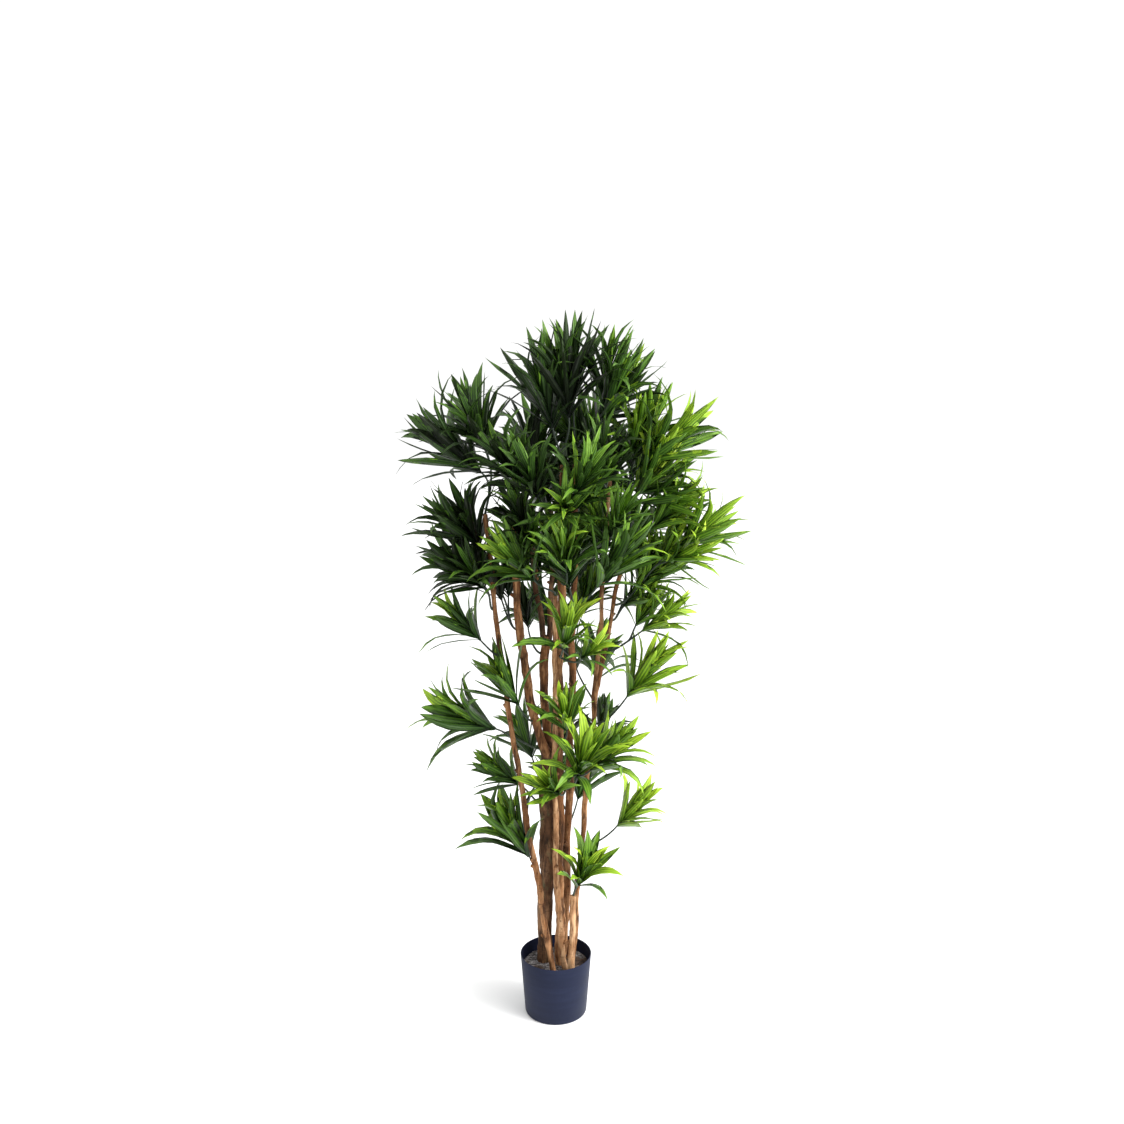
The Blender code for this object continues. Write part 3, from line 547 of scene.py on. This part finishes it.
def limb_growth():
    """A tube along a path, as thick as its girth attribute says, with long ridges and slow swellings."""
    tree = Growth("limb_growth", Sides="Int", Relief="Float", Ridges="Float", Seed="Float")
    given = tree.given
    path = tree.node("GeometryNodeMeshToCurve", {"Mesh": given["Geometry"]})
    ring = tree.node("GeometryNodeCurvePrimitiveCircle", {"Resolution": given["Sides"], "Radius": 1.0})
    girth = tree.attribute("girth")
    values = {"Curve": path, "Profile Curve": ring, "Scale": girth, "Fill Caps": True}
    tube = tree.node("GeometryNodeCurveToMesh", values)
    place = tree.node("GeometryNodeInputPosition")
    place += tree.node("ShaderNodeCombineXYZ", {2: given["Seed"]})
    ridge = tree.noise(place * (1.0, 1.0, 0.22), given["Ridges"], 4.0) - 0.5
    swell = tree.noise(place * (1.0, 1.0, 1.6), 34.0, 2.0) - 0.5
    pits = tree.noise(place * (1.0, 1.0, 0.55), given["Ridges"] * 1.9, 2.0) - 0.5
    relief = (ridge * 0.8 + swell * 1.3 + pits * 0.7) * given["Relief"] * girth
    tube = tree.passed("SetPosition", tube, Offset=tree.node("GeometryNodeInputNormal") * relief)
    return tree.dressed(tree.passed("SetShadeSmooth", tube))


def stub_growth():
    """Cut stubs of side twigs on points: each stands out along its own direction."""
    tree = Growth("stub_growth", Stub="Object", Roughening="Float")
    given = tree.given
    outward = tree.attribute("outward", "FLOAT_VECTOR")
    values = {"Primary Axis": outward, "Secondary Axis": (0.0, 0.0, 1.0)}
    turn = tree.node("FunctionNodeAxesToRotation", values, primary_axis="Z", secondary_axis="X")
    stubs = tree.copied(given["Geometry"], given["Stub"], Rotation=turn, Scale=tree.attribute("girth"))
    place = tree.node("GeometryNodeInputPosition")
    relief = (tree.noise(place, 260.0, 3.0) - 0.5) * given["Roughening"]
    push = tree.node("GeometryNodeInputNormal") * relief
    return tree.dressed(tree.passed("SetPosition", stubs, Offset=push))


def crumb_growth():
    """The filling's crust: its top raised unevenly, with crumbs strewn on it."""
    tree = Growth("crumb_growth", Relief="Float", Crumbs="Float", Crumb_Size="Float", Seed="Int")
    given = tree.given
    lumps = tree.noise(tree.node("GeometryNodeInputPosition"), 62.0, 4.0, 0.6) ** 1.8
    inside = tree.attribute("open_top")
    rise = tree.node("ShaderNodeCombineXYZ", {2: lumps * inside * given["Relief"]})
    crust = tree.passed("SetPosition", given["Geometry"], Offset=rise)
    values = {"Mesh": crust, "Selection": inside > 0.5, "Density": given["Crumbs"], "Seed": given["Seed"]}
    points = tree.node("GeometryNodeDistributePointsOnFaces", values)
    turn, size = (
        tree.node("FunctionNodeRandomValue", {"Min": least, "Max": most, "Seed": given["Seed"]},
                  data_type="FLOAT_VECTOR")
        for least, most in (CRUMB_TURNS, CRUMB_SIZES)
    )
    crumb = tree.node("GeometryNodeMeshIcoSphere", {"Radius": given["Crumb Size"], "Subdivisions": 1})
    values = {"Points": points, "Instance": crumb, "Rotation": turn, "Scale": size}
    crumbs = tree.node("GeometryNodeInstanceOnPoints", values)
    return tree.dressed(tree.node("GeometryNodeJoinGeometry", {"Geometry": [crust, crumbs]}))


def leaf_growth():
    """Leaves on points: a blade on each, bent, hooked, twisted, folded and waved as its point says."""
    greens = {f"Green_{number}": "Material" for number in range(1, len(GREENS))}
    tree = Growth("leaf_growth", Blade="Object", Thickness="Float", **greens)
    given = tree.given
    leaves = tree.copied(given["Geometry"], given["Blade"])
    root, aim, away = tree.attributes("root aim away", "FLOAT_VECTOR")
    length, width, bend, hook = tree.attributes("length width bend hook")
    twist, fold, wave, beat = tree.attributes("twist fold wave beat")
    along, across, lift = tree.attributes("along across lift")
    turn = bend * along + hook * along**3.0
    half = turn * 0.5
    middle = root + (aim * half.cosine() + away * half.sine()) * (length * along)
    top = aim * turn.sine() - away * turn.cosine()
    side = tree.node("ShaderNodeVectorMath", {0: aim, 1: away}, operation="CROSS_PRODUCT")
    rolled = twist * along
    flat = side * rolled.cosine() + top * rolled.sine()
    face = top * rolled.cosine() - side * rolled.sine()
    out = across * width * 0.5
    ripple = (along * 17.0 + beat + across * 1.5).sine() * wave * length * along
    rise = lift * given["Thickness"] + out.size() * fold + ripple
    leaves = tree.passed("SetPosition", leaves, Position=middle + flat * out + face * rise)
    leaves = tree.passed("SetShadeSmooth", leaves)
    tint, depth, margin, stripe = tree.attributes("tint depth margin stripe", "INT")
    # depth paints shade on undersides and roots; tint carries the sprays' painted light and shade
    shade = tint + depth + margin * stripe
    chosen = [(shade > number - 0.5, given[f"Green {number}"]) for number in range(1, len(GREENS))]
    return tree.dressed(leaves, *chosen)


def placed(name, data):
    """A new object in the scene."""
    thing = bpy.data.objects.new(name, data)
    bpy.context.scene.collection.objects.link(thing)
    return thing


def grown(name, mesh, tree, inputs):
    """Runs a tree on a mesh and returns the plain mesh object that comes out."""
    thing = placed(name, mesh)
    modifier = thing.modifiers.new("growth", "NODES")
    modifier.node_group = tree
    for socket in tree.interface.items_tree:
        if socket.in_out == "INPUT" and socket.name in inputs:
            modifier[socket.identifier] = inputs[socket.name]
    graph = bpy.context.evaluated_depsgraph_get()
    result = bpy.data.meshes.new_from_object(thing.evaluated_get(graph))
    thing.modifiers.clear()
    thing.data = result
    result.name = name
    return thing


def seat(piece, slot, *nodes):
    """Rides a piece on the tree, in place of the nodes. The slot is not used."""
    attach(piece, "root")
    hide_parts(*nodes)


def marked(mesh, domain="POINT", **columns):
    """Gives a mesh attributes: whole numbers, numbers or vectors, as the first value of each column is."""
    for label, column in columns.items():
        kind = {int: "INT", float: "FLOAT"}.get(type(column[0]), "FLOAT_VECTOR")
        field = "value"
        if kind == "FLOAT_VECTOR":
            field, column = "vector", [part for vector in column for part in vector]
        mesh.attributes.new(label, kind, domain).data.foreach_set(field, column)
    return mesh


def points_mesh(name, points, edges=(), **columns):
    """A mesh of loose points or paths with attributes."""
    mesh = bpy.data.meshes.new(name)
    mesh.from_pydata(points, edges, [])
    return marked(mesh, **columns)


def path_mesh(name, paths):
    """Paths of (point, girth) as one mesh of edges with a girth attribute."""
    points, edges, girths = [], [], []
    for path in paths:
        first = len(points)
        points += [point for point, _ in path]
        girths += [float(girth) for _, girth in path]
        edges += [(number, number + 1) for number in range(first, len(points) - 1)]
    return points_mesh(name, points, edges, girth=girths)


def turned(name, profile, steps):
    """A closed solid of revolution from a profile of (radius, height), capped where it ends off the axis."""
    bm = bmesh.new()
    turns = [2 * pi * step / steps for step in range(steps)]
    rings = []
    for radius, height in profile:
        if radius:
            places = [(radius * cos(turn), radius * sin(turn), height) for turn in turns]
            rings.append([bm.verts.new(place) for place in places])
        else:
            rings.append([bm.verts.new((0.0, 0.0, height))] * steps)
    for low, high in zip(rings, rings[1:]):
        for step in range(steps):
            corners = (low[step - 1], low[step], high[step], high[step - 1])
            bm.faces.new(list(dict.fromkeys(corners)))
    for ring in (rings[0][::-1], rings[-1]):
        if ring[0] is not ring[1]:
            bm.faces.new(ring)
    bmesh.ops.recalc_face_normals(bm, faces=bm.faces)
    mesh = bpy.data.meshes.new(name)
    bm.to_mesh(mesh)
    bm.free()
    mesh.shade_smooth()
    return mesh


def mix(ends, share):
    """A value between two ends."""
    return ends[0] + (ends[1] - ends[0]) * share


def aim(azimuth, angle):
    """Unit vector towards an azimuth, raised by an angle, both in degrees."""
    turn, lift = radians(azimuth), radians(angle)
    return Vector((cos(turn) * cos(lift), sin(turn) * cos(lift), sin(lift)))


def frame_of(axis):
    """Two unit vectors square to an axis and to each other."""
    side = axis.cross(Vector((0, 0, 1)))
    if side.length < 0.05:
        side = axis.cross(Vector((1, 0, 0)))
    side.normalize()
    return side, side.cross(axis).normalized()


def pot_inner_radius(height):
    """Inner radius of the pot's sloping wall."""
    share = height / POT_HEIGHT
    return POT_FOOT_RADIUS + (POT_RIM_RADIUS - POT_FOOT_RADIUS) * share - POT_WALL


def share_of(limb, height):
    """A height as a share of the limb's rise."""
    return (height - limb.foot[2]) / (limb.tip[2] - limb.foot[2])


def seed_of(limb):
    """A number that is the limb's own."""
    return sum(map(ord, limb.name))


def limb_centre(limb, height):
    """Where a limb's axis is at a height, with the slow wobble of natural wood."""
    foot, tip, share = Vector(limb.foot), Vector(limb.tip), share_of(limb, height)
    swing = sin(pi * share**limb.skew)
    fade = min(1.0, WOBBLE_FADE * share, WOBBLE_FADE * (1 - share))
    beats = (sin(beat * height + (i + 1) * seed_of(limb)) for i, beat in enumerate(WOBBLE_BEAT))
    wobble = Vector((*beats, 0)) * WOBBLE * fade
    centre = foot.lerp(tip, share) + Vector((*limb.bow, 0)) * swing + wobble
    centre.z = height
    return centre


def limb_radius(limb, height):
    """A limb's radius at a height: an even taper, swelling a little at its knots."""
    knobble = 1 + KNOBBLE * sin(KNOBBLE_BEAT * height + 3 * seed_of(limb))
    return mix((limb.foot_radius, limb.tip_radius), share_of(limb, height)) * knobble


def bezier(start, start_pull, end_pull, end, share):
    """A point on a cubic curve."""
    first, second, rest = start + start_pull, end - end_pull, 1 - share
    return start * rest**3 + first * 3 * rest**2 * share + second * 3 * rest * share**2 + end * share**3


def head_base(spray, head):
    """Where a head's leaves begin."""
    carrier = CARRIERS[spray.carrier]
    height = carrier.tip[2] if spray.plug is None else spray.plug
    return limb_centre(carrier, height) + aim(head.azimuth, 0) * head.reach + Vector((0, 0, head.rise))


def near_sprays():
    """The sprays of the near side, from their rows."""
    made = []
    for name, tint, carrier, plug, *rows in SPRAY_ROWS:
        heads = [
            Head(azimuth, reach / 1000, rise / 1000, *lean, length / 1000)
            for azimuth, reach, rise, *lean, length in rows
        ]
        made.append(Spray(f"spray_{name}", f"leaf_{tint}", carrier, plug and plug / 1000, heads))
    return made


def far_sprays():
    """The sprays of the far side, stepped up their carriers and swung left and right in turn."""
    made = []
    for number, (carrier, plug) in enumerate(FAR_CARRIERS):
        rank = number / (len(FAR_CARRIERS) - 1)
        hand = 1 if number % 2 else -1
        azimuth = 90 + hand * (FAR_SWING[0] + FAR_SWING[1] * sin(SWING_BEAT * number))
        reach, length, lean = (mix(ends, rank) for ends in (FAR_REACH, FAR_LENGTH, FAR_LEAN))
        first = Head(azimuth, reach, FAR_RISE * reach, azimuth, lean, length)
        away = azimuth - FAR_FORK * hand
        wide, high, long = FAR_SECOND
        second = Head(away, wide * reach, high * reach, away, lean + FAR_LIFT, long * length)
        made.append(Spray(f"spray_far_{number + 1}", FAR_TINT, carrier, plug, [first, second]))
    return made


def make_pot(surface):
    """The pot's shell, with rounded edges at its lip and its foot."""
    foot, rim, wall = POT_FOOT_RADIUS, POT_RIM_RADIUS, POT_RIM_RADIUS - POT_WALL
    profile = [
        (0.0, SOLE_HOLLOW), (foot - SOLE_RING[0], SOLE_HOLLOW), (foot - SOLE_RING[1], 0.0),
        (foot - POT_FOOT_CHAMFER, 0.0), (foot - FOOT_BEND[0], FOOT_BEND[1]), (foot, POT_FOOT_CHAMFER),
        (rim, POT_HEIGHT - LIP), (rim - LIP_BEND * LIP, POT_HEIGHT - LIP_BEND * LIP),
        (rim - LIP, POT_HEIGHT), (wall + LIP, POT_HEIGHT), (wall, POT_HEIGHT - LIP),
        (pot_inner_radius(POT_FLOOR), POT_FLOOR), (0.0, POT_FLOOR),
    ]
    mesh = turned("pot_shell", profile, POT_STEPS)
    mesh.set_sharp_from_angle(angle=POT_CREASE)
    mesh.materials.append(surface)
    return placed("pot_shell", mesh)


def make_fill(surface):
    """The filling: a plug with a fine top that the crumb tree roughens."""
    bottom, side_gap = POT_FLOOR + GAP, 3 * GAP
    low, high = pot_inner_radius(bottom) - side_gap, pot_inner_radius(FILL_TOP) - side_gap
    profile = [(0.0, bottom), (low, bottom)] + [
        (high * (1 - ring / FILL_RINGS), FILL_TOP) for ring in range(FILL_RINGS + 1)
    ]
    mesh = turned("fill_plug", profile, FILL_SPOKES)
    mesh.set_sharp_from_angle(angle=POT_CREASE)
    marked(mesh, open_top=[
        min(1.0, max(0.0, (high - spot.co.xy.length) / FILL_MARGIN)) if spot.co.z > FILL_TOP - GAP else 0.0
        for spot in mesh.vertices
    ])
    return grown("fill_crust", mesh, crumb_growth(), {
        "Relief": FILL_RELIEF, "Crumbs": CRUMBS, "Crumb Size": CRUMB_RADIUS, "Seed": CRUMB_SEED,
        "Finish": surface,
    })


def wood_centre(limb, height):
    """Where the middle of the wood is at a height: the solids' line, with small kinks."""
    share = share_of(limb, height)
    fade = max(0.0, min(1.0, KINK_FADE * share, KINK_FADE * (1 - share)))
    spot = Vector((seed_of(limb), 0, KINK_BEAT * height))
    kink = Vector((noise.noise(spot), noise.noise(spot + KINK_SHIFT), 0))
    return limb_centre(limb, height) + kink * KINK * fade


def limb_path(limb):
    """A limb's path and girth, with the small kinks and knots of natural wood."""
    rise = limb.tip[2] - limb.foot[2]
    count = round(rise / LIMB_STEP)
    rng = random.Random(limb.name)
    knots = [
        (limb.foot[2] + rise * rng.random(), rng.uniform(*KNOT_SIZE))
        for _ in range(round(KNOTS_A_METRE * rise))
    ]
    path = fork_path(limb)
    for step in range(count + 1):
        height = limb.foot[2] + rise * step / count
        swell = 1 + sum(size * exp(-(((height - at) / KNOT_REACH) ** 2)) for at, size in knots)
        path.append((wood_centre(limb, height), limb_radius(limb, height) * swell))
    return path


def fork_path(limb):
    """The start of a bough's path, down in the wood that carries it, or nothing for a stem."""
    foot, depth = wood_centre(limb, limb.foot[2]), Vector((0, 0, FORK_DEPTH))
    return [
        ((Vector(below.tip) - depth).lerp(foot, share), limb.foot_radius * mix(FORK_GIRTH, share))
        for below in LIMBS if abs(below.tip[2] + GAP - limb.foot[2]) < GAP / 2
        for share in FORK_SHARES
    ]


def stub_points():
    """Where cut stubs of side twigs stand on the wood, and how thick and which way."""
    rng = random.Random("stubs")
    points, outward, girth = [], [], []
    for limb in LIMBS:
        rise = limb.tip[2] - limb.foot[2]
        for _ in range(round(rise * STUBS_A_METRE)):
            height = limb.foot[2] + rise * rng.uniform(*STUB_HEIGHTS)
            turn = rng.uniform(0, 360)
            radius = limb_radius(limb, height)
            girth.append(min(rng.uniform(*STUB_SIZE), STUB_MOST * radius))
            points.append(wood_centre(limb, height) + aim(turn, 0) * radius * STUB_START)
            outward.append(aim(turn, rng.uniform(*STUB_LEAN)))
    return points_mesh("stub_points", points, outward=outward, girth=girth)


def blade_width(along):
    """Half width of a leaf's blade, 1 at its widest: a narrow root, long straight sides and a sharp tip."""
    if along < WIDE_FROM:
        return mix((ROOT_WIDTH, 1.0), sin(pi / 2 * along / WIDE_FROM))
    return 1 - max(0.0, (along - WIDE_TO) / (1 - WIDE_TO)) ** TIP_EASE


def blade_template():
    """One closed leaf blade, held flat by its attributes: along and across it, and lift through it.

    A row has five points on its face and one under its middle. The margin attribute marks the margins, and
    depth says how many greens paler or darker a face is by its place: it paints shade, one green darker, on
    the underside and the root row.
    """
    points, faces, margins, painted_shade_steps = [], [], [], []
    stations = (-1.0, -MARGIN_SHARE, 0.0, MARGIN_SHARE, 1.0)
    for along in LEAF_ROWS[:-1]:
        width = blade_width(along)
        points += [(along, station * width, 0.0) for station in stations]
        points.append((along, 0.0, -1.0 + 0.6 * along))
    points.append((1.0, 0.0, 0.0))
    rows, tip = len(LEAF_ROWS) - 1, len(points) - 1
    for row in range(rows):
        low, high = 6 * row, 6 * (row + 1)
        for corner in range(6):
            after = (corner + 1) % 6
            end = (tip,) if row == rows - 1 else (high + after, high + corner)
            faces.append((low + corner, low + after, *end))
            margins.append(1 if corner in (0, 3) else 0)
            # painted shade: the root row and the underside faces are one green darker
            painted_shade_steps.append(-1 if row == 0 or corner > 3 else 0)
    faces.append((0, 5, 4, 3, 2, 1))
    margins.append(0)
    painted_shade_steps.append(-1)
    mesh = bpy.data.meshes.new("blade")
    mesh.from_pydata([(across * 0.1, along, lift * 0.01) for along, across, lift in points], [], faces)
    along, across, lift = zip(*points)
    marked(mesh, along=along, across=across, lift=lift)
    marked(mesh, "FACE", margin=margins, depth=painted_shade_steps)
    return bpy.data.objects.new("blade", mesh)


Shoot = namedtuple("Shoot", "start outward base axis length")  # a stalk, and the head of leaves at its end


def stalk_path(shoot):
    """A shoot's path from its plug or fork to the last leaf of its head."""
    first, last = ((shoot.base - shoot.start).length * share for share in STALK_PULL)
    path = [
        bezier(shoot.start, shoot.outward * first, shoot.axis * last, shoot.base, step / STALK_POINTS)
        for step in range(STALK_POINTS + 1)
    ]
    leafy = shoot.axis * shoot.length * SHOOT_SHARE
    return path + [shoot.base + leafy * step / HEAD_POINTS for step in range(1, HEAD_POINTS + 1)]


def spray_shoots(spray):
    """A spray's shoots: the solids' own, then the side shoots that grow from them."""
    carrier = CARRIERS[spray.carrier]
    if spray.plug is None:
        start, outward = Vector(carrier.tip) - Vector((0, 0, TIP_PLUG)), Vector((0, 0, 1))
    else:
        outward = aim(spray.heads[0].azimuth, 0)
        start = wood_centre(carrier, spray.plug) + outward * limb_radius(carrier, spray.plug) * SIDE_PLUG
    shoots = []
    for head in spray.heads:
        base, axis = head_base(spray, head), aim(head.lean_azimuth, head.lean_angle)
        shoots.append(Shoot(start, outward, base, axis, head.length))
        if len(shoots) == 1:
            path = stalk_path(shoots[0])
            start, outward = path[FORK_POINT], (path[FORK_POINT + 1] - path[FORK_POINT]).normalized()
    sides = []
    for number, shoot in enumerate(shoots):
        sides += side_shoots(shoot, random.Random(f"{spray.name} {number}"))
    return shoots + [shoot for shoot in sides if not in_wood(shoot.base, HEAD_SPARE)]


def from_heart(shoot):
    """How far from the crown's heart a shoot's head reaches."""
    return (shoot.base + shoot.axis * shoot.length - Vector(CROWN_HEART)).length


def side_shoots(shoot, rng):
    """The side shoots of a shoot of the crown, which fill the crown's inside."""
    path = stalk_path(shoot)
    side, up = frame_of(shoot.axis)
    turn = rng.uniform(0, 2 * pi)
    found = []
    for _ in range(SIDE_SHOOTS if SIDE_SHOOTS_FROM < shoot.base.z < SIDE_SHOOTS_TO else 0):
        turn += GOLDEN_ANGLE
        radial = side * cos(turn) + up * sin(turn)
        axis = (shoot.axis + radial * rng.uniform(*SIDE_LEAN)).normalized()
        spot = round(rng.uniform(*SIDE_START) * STALK_POINTS)
        start, outward = path[spot], (path[spot + 1] - path[spot]).normalized()
        base = start + axis * shoot.length * rng.uniform(*SIDE_REACH)
        sprig = Shoot(start, outward, base, axis, shoot.length * rng.uniform(*SIDE_LENGTH))
        if from_heart(sprig) < INNER * from_heart(shoot):
            found.append(sprig)
    return found


def in_wood(point, spare):
    """True if a point lies in a limb, or less than spare from it."""
    return any(
        limb.foot[2] <= point.z <= limb.tip[2]
        and (point - wood_centre(limb, point.z)).length < limb_radius(limb, point.z) + spare
        for limb in LIMBS
    )


def spray_leaves(spray, shoots):
    """The leaves of a spray by the solids' rule, finer and more of them, as columns of attributes."""
    leaves = []
    # the spray's plainest green, with its painted light and shade added
    tint_with_painted_light = SPRAY_TINTS[spray.tint] + PAINTED_LIGHT_STEPS.get(spray.name, 0.0)
    for order, shoot in enumerate(shoots):
        side, up = frame_of(shoot.axis)
        count = LEAVES_A_HEAD + round(LEAVES_A_METRE * shoot.length)
        opening = min(1.0, OPENING[0] + OPENING[1] * shoot.base.z)
        slimness = mix(LEAF_WIDTH, shoot.base.z / cad_box[1][2])
        rng = random.Random(f"{spray.name} {order}")
        for number in range(count):
            rank = (number + 0.5) / count
            wiry = shoot.length > WIRY_FROM and number % WIRY_EVERY == WIRY_FIRST
            turn = number * GOLDEN_ANGLE + rng.uniform(-TURN_JITTER, TURN_JITTER)
            spread = mix(LEAF_SPREAD, rank**SPREAD_EASE) * opening + rng.uniform(-1, 1) * SPREAD_JITTER
            spread = radians(spread)
            length = shoot.length * mix(LEAF_SHARE, rank) * rng.uniform(*LENGTH_JITTER)
            width = length * slimness * rng.uniform(*WIDTH_JITTER)
            if wiry:
                length, width = length * WIRY_SIZE[0], width * WIRY_SIZE[1]
            radial = side * cos(turn) + up * sin(turn)
            forward = shoot.axis * cos(spread) + radial * sin(spread)
            away = (radial * cos(spread) - shoot.axis * sin(spread)).normalized()
            level = sqrt(max(0.0, 1 - forward.z**2))
            sag = LEAF_SAG * level * (1 - rank) * rng.uniform(*SAG_JITTER)
            forward, away = sagged(forward, away, sag)
            bend = radians(mix(LEAF_BEND, rank)) * rng.uniform(*BEND_JITTER)
            hook = rng.uniform(*(WIRY_HOOK if wiry else LEAF_HOOK))
            root = shoot.base + shoot.axis * shoot.length * SHOOT_SHARE * LAST_ROOT * rank
            root += radial * STALK_GIRTH[1] * LEAF_ROOT
            half = 0.5 * (bend + hook)
            tip = root + (forward * cos(half) + away * sin(half)) * length
            if any(in_wood(root.lerp(tip, share), LEAF_SPARE) for share in LEAF_PROBES):
                continue
            tint = tint_with_painted_light + YOUNG_TINT * rank**YOUNG_EASE + rng.uniform(-1, 1) * TINT_JITTER
            leaf = {name: rng.uniform(*ends) for name, ends in LEAF_DRAWS.items()}
            leaf["twist"] *= WIRY_TWIST if wiry else 1.0
            leaf.update(root=root, aim=forward, away=away, length=length * share_inside(root, tip),
                        width=width, bend=bend, hook=hook, tint=max(1, min(len(GREENS) - 2, round(tint))),
                        stripe=rng.choice(STRIPES))
            leaves.append(leaf)
    return {name: [leaf[name] for leaf in leaves] for name in leaves[0]}


def share_inside(root, tip):
    """The share of a leaf that stays within the solids' reach."""
    low = cad_box[0] - Vector((PROUD, PROUD, 0))
    high = cad_box[1] + Vector((PROUD, PROUD, -TOP_SPARE))
    shares = [1.0]
    for start, end, least, most in zip(root, tip, low, high):
        if end > most:
            shares.append((most - start) / (end - start))
        if end < least:
            shares.append((start - least) / (start - end))
    return min(shares)


def sagged(forward, away, sag):
    """A leaf's direction and the way it arches, let down by its own weight."""
    lower = (forward - Vector((0, 0, sag))).normalized()
    arch = (away - lower * away.dot(lower)).normalized()
    return lower, arch


def make_foliage():
    """Stalks and leaves of every spray."""
    blade, tube_tree, leaf_tree, stalk = blade_template(), limb_growth(), leaf_growth(), stalk_finish()
    first, *paler = (leaf_finish(f"leaf_green_{number}", green) for number, green in enumerate(GREENS))
    stalk_inputs = {
        "Sides": STALK_SIDES, "Relief": STALK_RELIEF, "Ridges": STALK_RIDGES, "Seed": 0.0, "Finish": stalk,
    }
    leaf_inputs = {"Blade": blade, "Thickness": LEAF_THICKNESS, "Finish": first}
    leaf_inputs.update({f"Green {number}": green for number, green in enumerate(paler, 1)})
    for spray in near_sprays() + far_sprays():
        shoots = spray_shoots(spray)
        paths = [
            [(point, mix(STALK_GIRTH, step / (len(path) - 1))) for step, point in enumerate(path)]
            for path in map(stalk_path, shoots)
        ]
        stalks = grown(f"{spray.name}_stalks", path_mesh("stalks", paths), tube_tree, stalk_inputs)
        seat(stalks, spray.tint, spray.name)
        columns = spray_leaves(spray, shoots)
        points = points_mesh("leaves", columns["root"], **columns)
        leaves = grown(f"{spray.name}_leaves", points, leaf_tree, leaf_inputs)
        seat(leaves, spray.tint, spray.name)
    bpy.data.objects.remove(blade)


def make_wood():
    """Bark on every limb, and the cut stubs of side twigs."""
    tree = limb_growth()
    barks = {name: bark_finish(name, *tones) for name, tones in BARKS.items()}
    for limb in LIMBS:
        bark = grown(f"{limb.name}_bark", path_mesh("limb", [limb_path(limb)]), tree, {
            "Sides": LIMB_SIDES, "Relief": BARK_RELIEF, "Ridges": BARK_RIDGES,
            "Seed": float(len(limb.name)), "Finish": barks[limb.tint],
        })
        bark.data.set_sharp_from_angle(angle=BARK_CREASE)
        seat(bark, limb.tint, limb.name)
    stub = bpy.data.objects.new("stub", turned("stub", STUB_PROFILE, STUB_SIDES))
    stubs = grown("cut_stubs", stub_points(), stub_growth(),
                  {"Stub": stub, "Roughening": STUB_RELIEF, "Finish": barks["bark_red"]})
    bpy.data.objects.remove(stub)
    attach(stubs, "root")


def make_studio():
    """A pale floor, soft light from the right and above, and the camera at eye height."""
    bpy.ops.mesh.primitive_plane_add(size=FLOOR_SIZE, location=(0, 0, FLOOR_LEVEL))
    floor = bpy.context.object
    floor.name = "studio_floor"
    paint = Finish("studio_white")
    tone = paint.mixed(paint.noise(paint.place, 3.0), *FLOOR_COLOURS)
    floor.data.materials.append(paint.done(tone, 0.9))

    world = bpy.data.worlds.new("studio")
    bpy.context.scene.world = world
    world.use_nodes = True
    sky = Tree(world.node_tree)
    toward = sky.node("ShaderNodeTexCoord", out="Generated")
    to_right, to_wall = (sky.node("ShaderNodeSeparateXYZ", {0: toward}, out=axis) for axis in "XY")
    room = ROOM_GLOW[0] + (ROOM_GLOW[1] - ROOM_GLOW[0]) * sky.smoothed(to_right, *ROOM_ACROSS)
    wall = WALL_GLOW[0] + (WALL_GLOW[1] - WALL_GLOW[0]) * sky.smoothed(to_right, *WALL_LEFT)
    wall += (WALL_GLOW[2] - WALL_GLOW[1]) * sky.smoothed(to_right, *WALL_RIGHT)
    behind = sky.smoothed(to_wall, *ROOM_TO_WALL)
    glow = world.node_tree.nodes["Background"]
    sky.feed(glow.inputs["Color"], (1.0, 1.0, 1.0))
    sky.feed(glow.inputs["Strength"], room * (1.0 - behind) + wall * behind)

    for name, kind, energy, settings, place, target in STUDIO_LAMPS:
        lamp = bpy.data.lights.new(name, kind)
        lamp.energy = energy
        for label, value in settings.items():
            setattr(lamp, label, value)
        light = placed(name, lamp)
        light.location = place
        light.rotation_euler = (Vector(target) - Vector(place)).to_track_quat("-Z", "Y").to_euler()

    lens = bpy.data.cameras.new("camera")
    lens.lens = lens.sensor_width * FOCAL_SHARE
    camera = placed("camera", lens)
    camera.location = CAMERA_PLACE
    camera.rotation_euler = (CAMERA_TILT, 0.0, 0.0)
    bpy.context.scene.camera = camera
    bpy.context.scene.view_settings.view_transform = "Standard"


def main():
    make_studio()
    seat(make_pot(pot_finish()), "pot", "pot")
    seat(make_fill(fill_finish()), "fill", "fill")
    make_wood()
    make_foliage()
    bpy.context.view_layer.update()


main()
